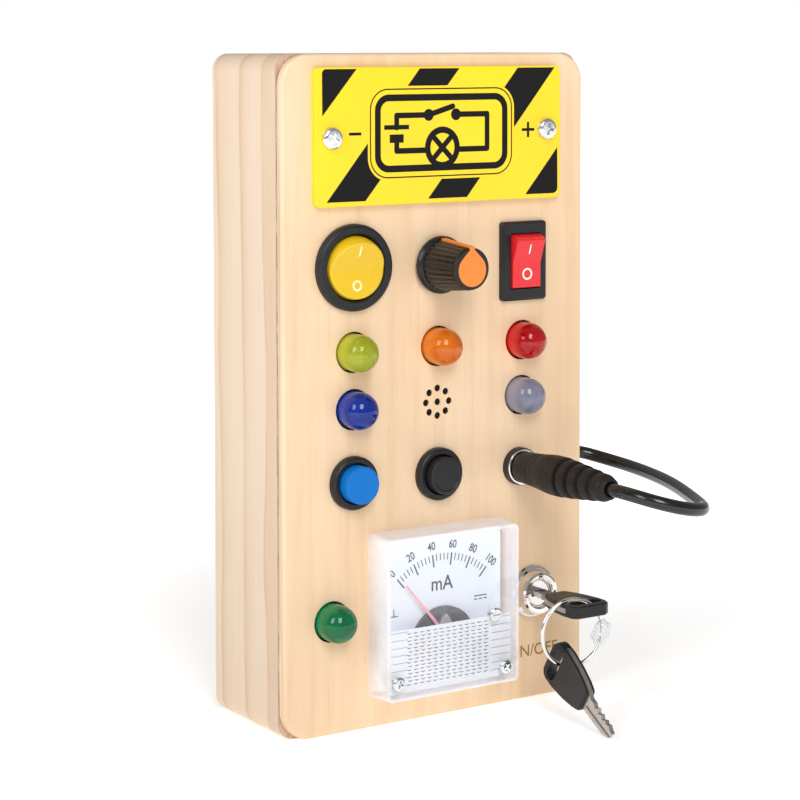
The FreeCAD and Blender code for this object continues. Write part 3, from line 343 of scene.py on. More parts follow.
def clear(name, tint=(0.965, 0.97, 0.975, 1.0), white=0.05, edge_white=0.55, rough=0.03, ior=1.49, pink=False, cloudy=0.0, rim=0.0):
    """Clear moulded plastic: see-through face on, milky where it is seen along the wall, with real gloss."""
    s = Shader(name, surface=False)
    s.t.nodes.remove(s.b)
    tr = s.n("ShaderNodeBsdfTransparent")
    tr.inputs[0].default_value = tint
    milk = s.n("ShaderNodeBsdfDiffuse")
    cloud = s.noise(s.scaled(0.25, 0.25, 0.25), 1.0, 3, 0.6)
    milkc = s.mix(s.span(cloud, 0.35, 0.65), lin(246, 246, 250), lin(243, 239, 241) if pink else lin(236, 240, 246))
    s.link(milkc, milk.inputs[0])
    lw = s.n("ShaderNodeLayerWeight")
    lw.inputs["Blend"].default_value = 0.5
    face = s.span(lw.outputs["Facing"], 0.25, 0.95, white, edge_white)
    if cloudy:
        face = s.math("ADD", face, s.span(cloud, 0.4, 0.7, 0.0, cloudy), clamp=True)
    if rim:
        xyz = s.scaled(1, 1, 1)
        ax = s.math("ABSOLUTE", s.math("ADD", s.axis(0, xyz), 0.8))
        az = s.math("ABSOLUTE", s.math("SUBTRACT", s.axis(2, xyz), 30.3))
        wall = s.math("MAXIMUM", s.span(ax, 19.9, 20.9), s.span(az, 20.3, 21.3))
        face = s.math("MULTIPLY_ADD", wall, rim, face, clamp=True)
    m1 = s.n("ShaderNodeMixShader")
    s.link(face, m1.inputs[0])
    s.link(tr.outputs[0], m1.inputs[1])
    s.link(milk.outputs[0], m1.inputs[2])
    gl = s.n("ShaderNodeBsdfGlossy")
    gl.inputs["Roughness"].default_value = rough
    gl.inputs[0].default_value = (1, 1, 1, 1)
    fr = s.n("ShaderNodeFresnel")
    fr.inputs["IOR"].default_value = ior
    wav = s.bump(s.noise(s.scaled(0.35, 0.35, 0.35, (3, 1, 2)), 1.0, 2, 0.5), 0.02, 0.2)
    s.link(wav, gl.inputs["Normal"])
    # the gloss sits on the outside of each wall only
    geo = s.n("ShaderNodeNewGeometry")
    outside = s.math("SUBTRACT", 1.0, geo.outputs["Backfacing"])
    m2 = s.n("ShaderNodeMixShader")
    s.link(s.math("MULTIPLY", fr.outputs[0], outside), m2.inputs[0])
    s.link(m1.outputs[0], m2.inputs[1])
    s.link(gl.outputs[0], m2.inputs[2])
    # light passes straight through, so that what is behind the plastic isn't shaded by it
    thru = s.n("ShaderNodeBsdfTransparent")
    ray = s.n("ShaderNodeLightPath")
    m3 = s.n("ShaderNodeMixShader")
    s.link(s.math("MULTIPLY", ray.outputs["Is Shadow Ray"], 0.9), m3.inputs[0])
    s.link(m2.outputs[0], m3.inputs[1])
    s.link(thru.outputs[0], m3.inputs[2])
    s.link(m3.outputs[0], s.out.inputs[0])
    return s.m


MATS = {
    "pine": wood_pine(),
    "plywood": wood_ply(),
    "sign_yellow": printed_sheet(),
    "screw_steel": metal("plated_screw_steel", (0.80, 0.82, 0.85, 1), 0.16),
    "black_plastic": plastic("moulded_black_plastic", lin(31, 31, 34), 0.40, 0.08, 0.010, 0.32),
    "yellow_plastic": plastic("moulded_yellow_plastic", lin(226, 186, 28), 0.30, 0.015, 0.003, 0.5),
    "red_plastic": plastic("moulded_red_plastic", lin(226, 34, 42), 0.30, 0.015, 0.003, 0.5),
    "blue_plastic": plastic("moulded_blue_plastic", lin(0, 112, 196), 0.42, 0.02, 0.004, 0.22),
    "knob_black": plastic("knob_black_plastic", lin(20, 18, 18), 0.30, 0.10, 0.006, 0.4),
    "orange_plastic": plastic("knob_orange_plastic", lin(240, 134, 56), 0.45, 0.03, 0.006, 0.3),
    "lens_yellow_green": lens("lens_resin_yellow_green", lin(190, 192, 48), lin(158, 166, 26), lin(208, 210, 78)),
    "lens_orange": lens("lens_resin_orange", lin(236, 130, 22), lin(214, 104, 4), lin(246, 152, 44)),
    "lens_red": lens("lens_resin_red", lin(222, 30, 30), lin(176, 2, 10), lin(232, 44, 40)),
    "lens_blue": lens("lens_resin_blue", lin(22, 56, 160), lin(6, 34, 132), lin(40, 80, 196)),
    "lens_grey": lens("lens_resin_grey", lin(154, 154, 172), lin(130, 131, 152), lin(178, 178, 194)),
    "lens_green": lens("lens_resin_green", lin(4, 134, 80), lin(0, 108, 62), lin(22, 152, 96)),
    "clear_plastic": clear("clear_cover_plastic", tint=(1, 1, 1, 1), white=0.03, edge_white=0.36, pink=True, rim=0.60),
    "dial_white": ink("printed_dial_white", lin(232, 238, 248), 0.45, 0.01),
    "needle_red": plastic("needle_red_enamel", lin(246, 168, 182), 0.4),
    "meter_white": plastic("meter_base_white_plastic", lin(226, 228, 234), 0.4, 0.02),
    "speaker_black": plastic("speaker_cone_black", lin(14, 13, 13), 0.7, 0.1, 0.02, 0.2),
    "dark_metal": metal("dark_coated_metal", (0.16, 0.16, 0.18, 1), 0.28, 0.01, None, 0.2),
    "nickel": metal("bright_nickel", (0.83, 0.81, 0.78, 1), 0.10, 0.004),
    "steel": metal("plain_steel", (0.66, 0.66, 0.66, 1), 0.28, 0.01),
    "brass": metal("plain_brass", (0.83, 0.66, 0.33, 1), 0.25, 0.01),
    "rubber_black": plastic("satin_black_rubber", lin(30, 26, 25), 0.52, 0.10, 0.015, 0.28),
    "cord_black": plastic("glossy_black_sheath", lin(15, 15, 17), 0.22, 0.08, 0.004, 0.5, 0.2, 0.08),
    "circuit_board": plastic("green_laminate", lin(26, 92, 52), 0.35, 0.10, 0.01),
    "cell_wrap": plastic("cell_wrap_film", lin(196, 198, 206), 0.25, 0.05, 0.005, 0.5, 0.3),
    "grey_plastic": plastic("moulded_dark_grey_plastic", lin(62, 63, 66), 0.42, 0.08, 0.012),
    "tag_clear": clear("clear_tag_plastic", tint=(0.93, 0.94, 0.95, 1), white=0.12, edge_white=0.6, rough=0.08, ior=1.5, cloudy=0.25),
}
SLOT_OF = {}
for ob in NODES.values():
    for i, sl in enumerate(ob.material_slots):
        if sl.material is not None:
            SLOT_OF[ob.name] = sl.material.name
NODE_SLOT = {
    "box_body": "pine", "front_panel": "plywood", "back_panel": "plywood", "back_panel_screws": "screw_steel",
    "batteries": "cell_wrap", "battery_contacts": "nickel", "battery_door": "plywood", "battery_door_screw": "screw_steel",
    "battery_holder": "black_plastic", "black_button_cap": "black_plastic", "black_button_housing": "black_plastic",
    "black_button_spring": "steel", "blue_button_cap": "blue_plastic", "blue_button_housing": "black_plastic",
    "blue_button_spring": "steel", "control_knob": "knob_black", "cord_gland": "rubber_black", "dc_cord": "cord_black",
    "dc_jack_body": "black_plastic", "dc_plug": "rubber_black", "jack_centre_pin": "nickel", "key_ring": "nickel",
    "key_tag": "tag_clear", "knob_cap": "orange_plastic", "led_blue": "lens_blue", "led_board": "circuit_board",
    "led_clear": "lens_grey", "led_green": "lens_green", "led_holders": "grey_plastic", "led_leads": "steel",
    "led_orange": "lens_orange", "led_red": "lens_red", "led_yellow_green": "lens_yellow_green", "lock_cam": "steel",
    "lock_cylinder": "nickel", "lock_housing": "nickel", "lock_key_blade": "nickel", "lock_key_bow": "black_plastic",
    "lock_switch_block": "black_plastic", "meter_base": "meter_white", "meter_case": "clear_plastic",
    "meter_core_cover": "dark_metal", "meter_dial": "dial_white", "meter_needle": "needle_red",
    "meter_screws": "screw_steel", "meter_studs": "brass", "panel_nuts": "steel", "plug_barrel": "nickel",
    "potentiometer_body": "steel", "potentiometer_shaft": "steel", "red_rocker": "red_plastic",
    "red_switch_housing": "black_plastic", "sign_plate": "sign_yellow", "sign_screws": "screw_steel",
    "spare_key_blade": "nickel", "spare_key_bow": "black_plastic", "speaker": "speaker_black",
    "switch_terminals": "brass", "yellow_rocker": "yellow_plastic", "yellow_switch_housing": "black_plastic",
}
for name, ob in NODES.items():
    m = MATS[NODE_SLOT[name]]
    if not ob.data.materials:
        ob.data.materials.append(m)
    for i in range(len(ob.material_slots)):
        ob.material_slots[i].link = "DATA"
        ob.data.materials[i] = m
KEY_STEEL = metal("cut_key_steel", (0.50, 0.46, 0.43, 1), 0.36)
for name in ("lock_key_blade", "spare_key_blade"):
    NODES[name].data.materials[0] = KEY_STEEL


# ---------------------------------------------------------------- mesh helper
class Build:
    """Collects solids in face coordinates, millimetres, and makes one piece of them."""

    def __init__(self, stack=0.0):
        self.v, self.f, self.stack, self.k = [], [], stack, 0

    def prism(self, pts, y0, y1):
        n, b = len(pts), len(self.v)
        self.k += 1
        y0 -= self.stack * self.k
        self.v += [(x, y0, z) for x, z in pts] + [(x, y1, z) for x, z in pts]
        self.f.append([b + i for i in range(n)])
        self.f.append([b + n + i for i in reversed(range(n))])
        for i in range(n):
            j = (i + 1) % n
            self.f.append([b + i, b + n + i, b + n + j, b + j])

    def band(self, inner, outer, y0, y1):
        """A closed strip between two loops that have the same number of points."""
        n, b = len(inner), len(self.v)
        self.k += 1
        y0 -= self.stack * self.k
        for loop in (inner, outer):
            self.v += [(x, y0, z) for x, z in loop] + [(x, y1, z) for x, z in loop]
        for i in range(n):
            j = (i + 1) % n
            a, c = b, b + 2 * n
            self.f.append([a + i, a + j, c + j, c + i])
            self.f.append([a + n + i, c + n + i, c + n + j, a + n + j])
            self.f.append([a + i, a + n + i, a + n + j, a + j])
            self.f.append([c + i, c + j, c + n + j, c + n + i])

    def stroke(self, a, b, w, y0, y1, round_=True):
        dx, dz = b[0] - a[0], b[1] - a[1]
        L = math.hypot(dx, dz)
        ux, uz = dx / L, dz / L
        nx, nz = -uz, ux
        h = w / 2
        pts = []
        if round_:
            for k in range(9):
                t = math.pi / 2 + math.pi * k / 8
                pts.append((a[0] + h * (math.cos(t) * ux + math.sin(t) * nx), a[1] + h * (math.cos(t) * uz + math.sin(t) * nz)))
            for k in range(9):
                t = -math.pi / 2 + math.pi * k / 8
                pts.append((b[0] + h * (math.cos(t) * ux + math.sin(t) * nx), b[1] + h * (math.cos(t) * uz + math.sin(t) * nz)))
        else:
            pts = [(a[0] + nx * h, a[1] + nz * h), (a[0] - nx * h, a[1] - nz * h),
                   (b[0] - nx * h, b[1] - nz * h), (b[0] + nx * h, b[1] + nz * h)]
        self.prism(pts, y0, y1)

    def ring(self, c, r0, r1, y0, y1, n=64):
        inner = [(c[0] + r0 * math.cos(2 * math.pi * i / n), c[1] + r0 * math.sin(2 * math.pi * i / n)) for i in range(n)]
        outer = [(c[0] + r1 * math.cos(2 * math.pi * i / n), c[1] + r1 * math.sin(2 * math.pi * i / n)) for i in range(n)]
        self.band(inner, outer, y0, y1)

    def lathe_y(self, c, prof, n=96, phase=0.0):
        """prof: closed list of (r, y), turned about the line along Y through c."""
        b, m = len(self.v), len(prof)
        for i in range(n):
            t = 2 * math.pi * i / n + phase
            for r, y in prof:
                self.v.append((c[0] + r * math.cos(t), y, c[1] + r * math.sin(t)))
        for i in range(n):
            j = (i + 1) % n
            for k in range(m):
                q = (k + 1) % m
                self.f.append([b + i * m + k, b + i * m + q, b + j * m + q, b + j * m + k])

    def text(self, s, at, size, y0, y1, turn=0.0, narrow=1.0, thin=0.0, align="CENTER"):
        """Plain letters lying on the face, at = middle of the text."""
        cu = bpy.data.curves.new("letters", "FONT")
        cu.body = s
        cu.size = 1.0
        cu.align_x = align
        cu.align_y = "CENTER"
        cu.offset = thin
        cu.resolution_u = 6
        cu.extrude = 0.5
        ob = bpy.data.objects.new("letters", cu)
        bpy.context.scene.collection.objects.link(ob)
        bpy.context.view_layer.update()
        me = bpy.data.meshes.new_from_object(ob.evaluated_get(bpy.context.evaluated_depsgraph_get()))
        bpy.data.objects.remove(ob)
        co = [v.co.copy() for v in me.vertices]
        h = max(c.y for c in co) - min(c.y for c in co)
        mz = (max(c.y for c in co) + min(c.y for c in co)) / 2
        k = size / h
        ct, st = math.cos(turn), math.sin(turn)
        b = len(self.v)
        for c in co:
            lx, lz = c.x * k * narrow, (c.y - mz) * k
            self.v.append((at[0] + lx * ct - lz * st, y0 + (y1 - y0) * (0.5 - c.z), at[1] + lx * st + lz * ct))
        for p in me.polygons:
            self.f.append([b + i for i in p.vertices])
        bpy.data.meshes.remove(me)

    def piece(self, name, mat, body, smooth=None, onto=None, lift=0.03, sink=0.08):
        me = bpy.data.meshes.new(name)
        v = self.v
        if onto is not None:
            # the front side follows the surface below it, the back side is just inside it
            tree = tree_of(onto)
            ys = [p[1] for p in v]
            half = (min(ys) + max(ys)) / 2
            w = []
            for x, y, z in v:
                hit = tree.ray_cast(P(x, -60, z), Vector((0, 1, 0)))[0]
                yy = hit.y * 1000 - SHIFT_Y
                w.append((x, yy - lift if y < half else yy + sink, z))
            v = w
        me.from_pydata([tuple(P(*p)) for p in v], [], self.f)
        me.update()
        bm = bmesh.new()
        bm.from_mesh(me)
        bmesh.ops.remove_doubles(bm, verts=bm.verts, dist=1e-7)
        bmesh.ops.recalc_face_normals(bm, faces=bm.faces)
        bm.to_mesh(me)
        bm.free()
        if smooth is not None:
            for p in me.polygons:
                p.use_smooth = True
            me.set_sharp_from_angle(angle=math.radians(smooth))
        me.materials.append(mat)
        ob = bpy.data.objects.new(name, me)
        bpy.context.scene.collection.objects.link(ob)
        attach(ob, body)
        return ob


def tree_of(node):
    ob = NODES[node]
    return BVHTree.FromPolygons([v.co.copy() for v in ob.data.vertices], [tuple(p.vertices) for p in ob.data.polygons])


def arc_pts(c, r, a0, a1, n):
    return [(c[0] + r * math.cos(math.radians(a0 + (a1 - a0) * i / n)), c[1] + r * math.sin(math.radians(a0 + (a1 - a0) * i / n)))
            for i in range(n + 1)]


def rrect(x0, z0, x1, z1, r, n=8):
    out = []
    for cx, cz, a in ((x1 - r, z1 - r, 0), (x0 + r, z1 - r, 90), (x0 + r, z0 + r, 180), (x1 - r, z0 + r, 270)):
        out += arc_pts((cx, cz), r, a, a + 90, n)
    return out


# ---------------------------------------------------------------- power lead
CORD_D = 0.0036
ROUTE = [(26.6, -41.5, 65.8), (26.6, -48.9, 65.8), (30.9, -55.9, 64.1), (38.6, -58.5, 62.0), (46.9, -55.7, 60.6), (53.7, -44.3, 60.1), (62.7, -23.2, 60.7), (67.7, -3.3, 60.9), (67.7, 11.8, 61.6), (59.2, 19.0, 64.5), (49.7, 19.0, 64.5)]
ROUTE = ROUTE[::-1]      # from the case to the plug
cu = bpy.data.curves.new("lead_line", "CURVE")
cu.dimensions = "3D"
sp = cu.splines.new("NURBS")
sp.points.add(len(ROUTE) - 1)
for pt, q in zip(sp.points, ROUTE):
    pt.co = (*P(*q), 1.0)
sp.order_u = 3
sp.use_endpoint_u = True
sp.resolution_u = 24
line = bpy.data.objects.new("lead_line", cu)
bpy.context.scene.collection.objects.link(line)
bpy.context.view_layer.update()
lm = bpy.data.meshes.new_from_object(line.evaluated_get(bpy.context.evaluated_depsgraph_get()))
CENTRE = [v.co.copy() for v in lm.vertices]
bpy.data.objects.remove(line)
bpy.data.meshes.remove(lm)


def tube(points, radius, n=24, cap=True):
    """A round tube that follows the points, its frame carried along without twist."""
    verts, faces = [], []
    t0 = (points[1] - points[0]).normalized()
    side = t0.orthogonal().normalized()
    for i, p in enumerate(points):
        a = points[max(i - 1, 0)]
        b = points[min(i + 1, len(points) - 1)]
        t = (b - a).normalized()
        side = (side - t * side.dot(t)).normalized()
        other = t.cross(side)
        r = radius(i) if callable(radius) else radius
        for k in range(n):
            w = 2 * math.pi * k / n
            verts.append(p + side * (r * math.cos(w)) + other * (r * math.sin(w)))
    for i in range(len(points) - 1):
        for k in range(n):
            q = (k + 1) % n
            faces.append([i * n + k, i * n + q, (i + 1) * n + q, (i + 1) * n + k])
    if cap:
        faces.append([k for k in reversed(range(n))])
        faces.append([(len(points) - 1) * n + k for k in range(n)])
    return verts, faces


v, f = tube(CENTRE, CORD_D / 2)
me = bpy.data.meshes.new("power_lead")
me.from_pydata([tuple(p) for p in v], [], f)
bm = bmesh.new()
bm.from_mesh(me)
bmesh.ops.recalc_face_normals(bm, faces=bm.faces)
bm.to_mesh(me)
bm.free()
for p in me.polygons:
    p.use_smooth = True
me.set_sharp_from_angle(angle=math.radians(50))
me.materials.append(MATS["cord_black"])
lead = bpy.data.objects.new("power_lead", me)
bpy.context.scene.collection.objects.link(lead)


# ---------------------------------------------------------------- sign print
BLACK = ink("sign_print_black", lin(17, 17, 19), 0.6, 0.10, 0.18)
YELLOW = MATS["sign_yellow"]
F = -2.0                 # front of the plate


def rounded(pts, radii, n=5):
    """Polygon with some corners rounded."""
    out = []
    m = len(pts)
    for i, (p, r) in enumerate(zip(pts, radii)):
        if r <= 0:
            out.append(p)
            continue
        a, b = Vector(pts[i - 1]), Vector(pts[(i + 1) % m])
        p = Vector(p)
        ua, ub = (a - p).normalized(), (b - p).normalized()
        half = ua.angle(ub) / 2
        d = r / math.tan(half)
        c = p + (ua + ub).normalized() * (r / math.sin(half))
        s0, s1 = p + ua * d - c, p + ub * d - c
        a0, a1 = math.atan2(s0.y, s0.x), math.atan2(s1.y, s1.x)
        da = (a1 - a0 + math.pi) % (2 * math.pi) - math.pi
        out += [(c.x + r * math.cos(a0 + da * k / n), c.y + r * math.sin(a0 + da * k / n)) for k in range(n + 1)]
    return out


g = Build()
g.prism(rounded([(-37.6, 176.0), (-37.5, 163.8), (-27.0, 176.0)], [1.2, 0, 0]), F - 0.03, F + 0.05)
g.prism([(-7.2, 176.0), (-36.3, 141.3), (-24.4, 141.3), (5.6, 176.0)], F - 0.03, F + 0.05)
g.prism([(24.9, 176.0), (-4.6, 141.2), (8.0, 141.2), (37.4, 176.0)], F - 0.03, F + 0.05)
g.prism(rounded([(38.4, 153.9), (27.5, 141.2), (38.5, 141.2)], [0, 0, 1.6]), F - 0.03, F + 0.05)
g.piece("sign_stripes", BLACK, "board")

g = Build()
g.prism(rrect(-23.6, 146.4, 23.6, 171.4, 6.2, 10), F - 0.045, F + 0.05)
g.piece("sign_plaque", YELLOW, "board")
g = Build(0.003)
g.band(rrect(-22.6, 147.4, 22.6, 170.4, 5.2, 10), rrect(-22.95, 147.05, 22.95, 170.75, 5.55, 10), F - 0.06, F + 0.05)
g.band(rrect(-19.6, 150.4, 19.6, 167.4, 2.6, 10), rrect(-21.4, 148.6, 21.4, 169.2, 4.3, 10), F - 0.06, F + 0.05)
# a plain lamp circuit: cell, open switch and lamp in a loop
zt, zb, x0, x1 = 163.6, 154.2, -14.6, 14.6
w = 1.5
g.stroke((x0, zt), (-4.4, zt), w, F - 0.06, F + 0.05)
g.stroke((4.4, zt), (x1, zt), w, F - 0.06, F + 0.05)
g.stroke((-4.4, zt), (3.4, zt + 2.2), w, F - 0.06, F + 0.05)
g.ring((-4.4, zt), 0.0001, 1.6, F - 0.06, F + 0.05, 24)
g.ring((4.4, zt), 0.0001, 1.6, F - 0.06, F + 0.05, 24)
g.stroke((x0, zt), (x0, 160.4), w, F - 0.06, F + 0.05)
g.stroke((x0, 157.4), (x0, zb), w, F - 0.06, F + 0.05)
g.stroke((x0 - 3.9, 160.5), (x0 + 3.9, 160.5), 1.2, F - 0.06, F + 0.05, False)
g.stroke((x0 - 2.2, 157.5), (x0 + 2.2, 157.5), 2.2, F - 0.06, F + 0.05, False)
g.stroke((x0, zb), (-4.6, zb), w, F - 0.06, F + 0.05)
g.stroke((4.6, zb), (x1, zb), w, F - 0.06, F + 0.05)
g.stroke((x1, zt), (x1, zb), w, F - 0.06, F + 0.05)
g.ring((0, zb + 0.6), 3.9, 5.6, F - 0.062, F + 0.05, 64)
for a in (45, 135):
    ca, sa = math.cos(math.radians(a)) * 3.6, math.sin(math.radians(a)) * 3.6
    g.stroke((-ca, zb + 0.6 - sa), (ca, zb + 0.6 + sa), 1.5, F - 0.06, F + 0.05)
g.piece("sign_circuit", BLACK, "board")
g = Build(0.003)
g.stroke((-29.4, 159.0), (-25.6, 159.0), 0.75, F - 0.03, F + 0.05, False)
g.stroke((26.3, 159.0), (30.5, 159.0), 0.75, F - 0.03, F + 0.05, False)
g.stroke((28.4, 156.9), (28.4, 161.1), 0.75, F - 0.031, F + 0.05, False)
g.piece("sign_polarity_marks", BLACK, "board")

# ---------------------------------------------------------------- switch marks
PALE = ink("switch_mark_white", lin(246, 240, 226), 0.4, 0.02)
PALE_Y = ink("switch_mark_cream", lin(250, 240, 190), 0.4, 0.02)


def long_bar(g, a, b, w, n=6):
    for i in range(n):
        p = (a[0] + (b[0] - a[0]) * i / n, a[1] + (b[1] - a[1]) * i / n)
        q = (a[0] + (b[0] - a[0]) * (i + 1) / n, a[1] + (b[1] - a[1]) * (i + 1) / n)
        g.stroke(p, q, w, -1, 0, False)


g = Build()
g.ring((-27.4, 119.2), 0.95, 1.45, -1, 0, 48)
g.stroke((-27.4, 127.0), (-27.4, 129.8), 0.42, -1, 0, False)
g.piece("yellow_switch_marks", PALE_Y, "yellow_rocker", onto="yellow_rocker")
g = Build()
g.ring((27.6, 119.3), 1.15, 1.65, -1, 0, 48)
g.stroke((27.6, 124.9), (27.6, 127.5), 0.42, -1, 0, False)
g.piece("red_switch_marks", PALE, "red_rocker", onto="red_rocker")

# ---------------------------------------------------------------- burnt lettering
BURN = ink("burnt_lettering", lin(150, 108, 62), 0.6, 0.15)
g = Build()
g.text("ON/OFF", (31.8, 13.4), 3.3, -0.02, 0.05, 0.0, 1.0, 0.004)
g.piece("burnt_lettering", BURN, "board")

# ---------------------------------------------------------------- meter dial
DIAL_INK = ink("dial_print", lin(52, 56, 68), 0.5, 0.05)
C = (-0.3, 23.1)
D0 = -2.2
g = Build(0.0004)
for i in range(26):
    a = math.radians(-41.4 + 82.8 * i / 25)
    r1 = 21.9
    r0, w = (18.5, 0.42) if i % 5 == 0 else (20.0, 0.26)
    g.stroke((C[0] + r0 * math.sin(a), C[1] + r0 * math.cos(a)), (C[0] + r1 * math.sin(a), C[1] + r1 * math.cos(a)), w, D0 - 0.03, D0 + 0.05, False)
for i, s in enumerate(("0", "20", "40", "60", "80", "100")):
    a = math.radians(-41.4 + 82.8 * i / 5)
    g.text(s, (C[0] + 24.3 * math.sin(a), C[1] + 24.3 * math.cos(a)), 2.3, D0 - 0.03, D0 + 0.05, -a, 0.8, 0.016)
g.text("mA", (-0.4, 36.9), 3.9, D0 - 0.03, D0 + 0.05, 0, 0.9, 0.008)
g.stroke((10.2, 31.8), (14.4, 31.8), 0.3, D0 - 0.03, D0 + 0.05, False)
for k in range(3):
    g.stroke((10.2 + 1.6 * k, 30.9), (11.2 + 1.6 * k, 30.9), 0.3, D0 - 0.03, D0 + 0.05, False)
g.stroke((-17.2, 29.6), (-14.6, 29.6), 0.25, D0 - 0.03, D0 + 0.05, False)
g.stroke((-15.9, 29.6), (-15.9, 31.6), 0.25, D0 - 0.03, D0 + 0.05, False)
g.piece("dial_scale", DIAL_INK, "board")

# ---------------------------------------------------------------- moulded pattern on the lower part of the cover
FROST = clear("frosted_cover_plastic", tint=(0.95, 0.95, 0.96, 1), white=0.66, edge_white=0.85, rough=0.25, cloudy=0.12)
# the prism marks are tinted dark: painted shade standing in for the dark refraction through the clear moulded ridges
PRISM_SHADE = clear("prism_plastic_painted_shade", tint=(0.30, 0.30, 0.34, 1), white=0.16, edge_white=0.30, rough=0.12, cloudy=0.1)
g = Build()
g.prism([(-20.4, 10.2), (18.8, 10.2), (18.8, 27.15), (-20.4, 27.15)], -7.42, -7.30)
g.piece("meter_frosted_window", FROST, "board")
g = Build()
for j in range(15):
    z = 12.4 + 0.98 * j
    for i in range(13):
        x = -14.4 + 2.06 * i + (0.35 if j % 2 else 0.0)
        hw, sag, th = 0.72, 0.22, 0.17
        b = len(g.v)
        for k in range(5):
            t = -1 + 0.5 * k
            zc = z - sag * (1 - t * t)
            e = th * (1 - 0.75 * t * t)
            g.v += [(x + hw * t, -7.43, zc - e), (x + hw * t, -7.49, zc), (x + hw * t, -7.43, zc + e)]
        for k in range(4):
            p, q = b + 3 * k, b + 3 * k + 3
            g.f += [[p, q, q + 1, p + 1], [p + 1, q + 1, q + 2, p + 2], [p + 2, q + 2, q, p]]
        g.f += [[b, b + 1, b + 2], [b + 14, b + 13, b + 12]]
g.piece("meter_window_pattern", PRISM_SHADE, "board")
g = Build()
for j in range(8):
    z = 12.2 + 2.05 * j
    g.stroke((-20.2, z), (-14.8, z), 0.13, -7.46, -7.43, False)
    g.stroke((12.2, z), (18.6, z), 0.13, -7.46, -7.43, False)
g.piece("meter_window_lines", PRISM_SHADE, "board")
# bright bridge over the pivot
g = Build()
g.prism([(-4.2, 21.8), (3.2, 21.8), (1.7, 26.9), (0.3, 28.6), (-1.5, 27.4)], -3.55, -3.2)
g.piece("meter_pivot_bridge", MATS["nickel"], "board")

# ---------------------------------------------------------------- lock marks
DOT = ink("lock_mark_dark", lin(24, 22, 24), 0.5)
DOT_R = ink("lock_mark_red", lin(150, 26, 34), 0.5)
for nm, (dx, dz), r, mt in (("lock_mark_top", (0.0, 4.9), 0.62, DOT), ("lock_mark_side", (-4.9, 0.0), 0.62, DOT_R), ("lock_mark_small", (4.9, 0.0), 0.45, DOT)):
    g = Build()
    g.ring((31.3 + dx, 30.1 + dz), 0.0001, r, -1, 0, 24)
    g.piece(nm, mt, "board", onto="lock_housing", lift=0.03, sink=0.06)

# black discs just inside the speaker holes: painted shade that keeps the holes dark
g = Build()
for k in range(9):
    a = math.radians(45 * k)
    r = 0.0 if k == 8 else 3.73
    g.ring((-0.3 + r * math.sin(a), 85.9 + r * math.cos(a)), 0.0001, 0.94, 0.35, 0.5, 24)
g.piece("speaker_hole_shade", MATS["speaker_black"], "board")

# ---------------------------------------------------------------- socket ring
g = Build()
g.lathe_y((26.6, 65.8), [(4.0, -2.41), (4.0, -2.66), (4.1, -2.74), (4.8, -2.74), (4.98, -2.62), (4.98, -2.41)], 96)
g.piece("socket_ring", MATS["nickel"], "board", smooth=40)

# ---------------------------------------------------------------- plug moulding: grip and ribbed strain relief
def soft(prof, r=0.16, n=3):
    """Rounds every corner of a closed profile a little."""
    out = []
    m = len(prof)
    for i, p in enumerate(prof):
        p = Vector(p)
        a, b = Vector(prof[i - 1]), Vector(prof[(i + 1) % m])
        if p.x < 0.01:
            out.append(tuple(p))
            continue
        d = min(r, (a - p).length * 0.42, (b - p).length * 0.42)
        q0, q1 = p + (a - p).normalized() * d, p + (b - p).normalized() * d
        for k in range(n + 1):
            t = k / n
            out.append(tuple(q0 * (1 - t) ** 2 + p * (2 * t * (1 - t)) + q1 * t ** 2))
    return out


prof = [(2.80, -2.85), (4.0, -2.85), (4.35, -3.2), (4.5, -6.6), (4.66, -9.4), (4.5, -9.55), (4.5, -9.75), (4.72, -9.9),
        (4.86, -11.7), (4.7, -11.85), (4.7, -12.05), (4.92, -12.2), (5.28, -15.0), (5.44, -17.0), (5.45, -21.3), (5.2, -22.0)]
for i, rr in enumerate((5.15, 4.75, 4.3, 3.8)):
    a0 = -22.0 - 4.35 * i
    core = 3.6 - 0.28 * i
    prof += [(core, a0 - 0.15), (core, a0 - 1.55), (rr, a0 - 1.75), (rr - 0.12, a0 - 4.2)]
prof += [(3.1, -40.2), (3.0, -41.1), (2.6, -41.5), (2.0, -41.5), (2.0, -8.0), (2.80, -8.0)]
g = Build()
g.lathe_y((26.6, 65.8), soft(prof), 96)
ob = g.piece("plug_moulding", MATS["rubber_black"], "plug", smooth=35)
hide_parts("dc_plug")

# ---------------------------------------------------------------- the lead runs from the case to the plug
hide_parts("dc_cord")
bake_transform(lead)

# ---------------------------------------------------------------- clear charm on the ring
bm = bmesh.new()
bmesh.ops.create_icosphere(bm, subdivisions=4, radius=1.0)
for vv in bm.verts:
    d = vv.co.normalized()
    k = 1.0 + 0.16 * math.sin(5.1 * d.x + 1.3) * math.sin(4.3 * d.z + 0.4) + 0.09 * math.sin(9.0 * d.y + 6.0 * d.z)
    vv.co = Vector((d.x * 2.5 * k, d.y * 2.0 * k, d.z * 3.4 * k))
    vv.co = Matrix.Rotation(math.radians(28), 3, "Y") @ vv.co
me = bpy.data.meshes.new("ring_charm")
bm.to_mesh(me)
bm.free()
for vv in me.vertices:
    vv.co = P(36.5 + vv.co.x, -24.9 + vv.co.y, 23.0 + vv.co.z)
for p in me.polygons:
    p.use_smooth = True
me.materials.append(MATS["tag_clear"])
ob = bpy.data.objects.new("ring_charm", me)
bpy.context.scene.collection.objects.link(ob)
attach(ob, "ring")
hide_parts("key_tag")

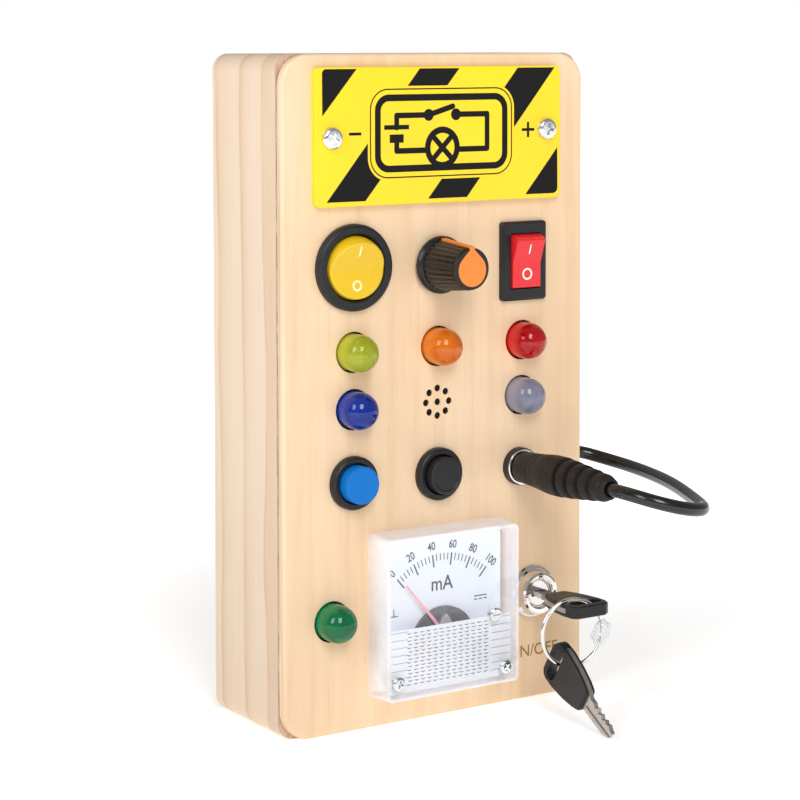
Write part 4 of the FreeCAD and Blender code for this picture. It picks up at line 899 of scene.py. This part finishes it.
# ---------------------------------------------------------------- floor and light
floor_mesh = bpy.data.meshes.new("studio_floor")
floor_mesh.from_pydata([(-9, -9, 0), (9, -9, 0), (9, 9, 0), (-9, 9, 0)], [], [[0, 1, 2, 3]])
fs = Shader("studio_floor")
fs.set(color=fs.mix(fs.noise(fs.scaled(0.002, 0.002, 0.002), 1, 2), (0.93, 0.93, 0.93, 1), (0.95, 0.95, 0.95, 1)), rough=0.7, spec=0.15)
away = fs.n("ShaderNodeVectorMath", operation="LENGTH")
fs.link(fs.scaled(1, 1, 1), away.inputs[0])
# the floor glows, dimmer near the object and brighter away from it: painted light that whitens the floor and its shadow
fs.set(emit=(1, 1, 1, 1), emit_k=fs.span(away.outputs["Value"], 60, 420, 0.42, 0.90))
floor_mesh.materials.append(fs.m)
floor = bpy.data.objects.new("studio_floor", floor_mesh)
bpy.context.scene.collection.objects.link(floor)

world = bpy.data.worlds.new("studio_white")
world.use_nodes = True
wt = world.node_tree
wt.nodes.clear()
wo = wt.nodes.new("ShaderNodeOutputWorld")
bg1 = wt.nodes.new("ShaderNodeBackground")
bg1.inputs[0].default_value = (1, 1, 1, 1)
bg1.inputs[1].default_value = 0.32
bg2 = wt.nodes.new("ShaderNodeBackground")
bg2.inputs[0].default_value = (1, 1, 1, 1)
bg2.inputs[1].default_value = 1.0
lp = wt.nodes.new("ShaderNodeLightPath")
mx = wt.nodes.new("ShaderNodeMixShader")
wt.links.new(lp.outputs["Is Camera Ray"], mx.inputs[0])
wt.links.new(bg1.outputs[0], mx.inputs[1])
wt.links.new(bg2.outputs[0], mx.inputs[2])
wt.links.new(mx.outputs[0], wo.inputs[0])
bpy.context.scene.world = world


def softbox(name, az, el, dist, w, h, watts, turn=0.0, target=Vector((0, 0, 0.09))):
    d = bpy.data.lights.new(name, "AREA")
    d.shape = "RECTANGLE"
    d.size, d.size_y = w, h
    d.energy = watts
    ob = bpy.data.objects.new(name, d)
    bpy.context.scene.collection.objects.link(ob)
    a, e = math.radians(az), math.radians(el)
    pos = target + Vector((math.sin(a) * math.cos(e), -math.cos(a) * math.cos(e), math.sin(e))) * dist
    q = (target - pos).to_track_quat("-Z", "Y")
    ob.matrix_world = Matrix.Translation(pos) @ q.to_matrix().to_4x4() @ Matrix.Rotation(math.radians(turn), 4, "Z")
    return ob


softbox("soft_left", -74, 30, 1.6, 0.52, 0.80, 7.6, 8)
softbox("soft_front", -20, 36, 1.6, 0.52, 0.80, 11.4, -8)
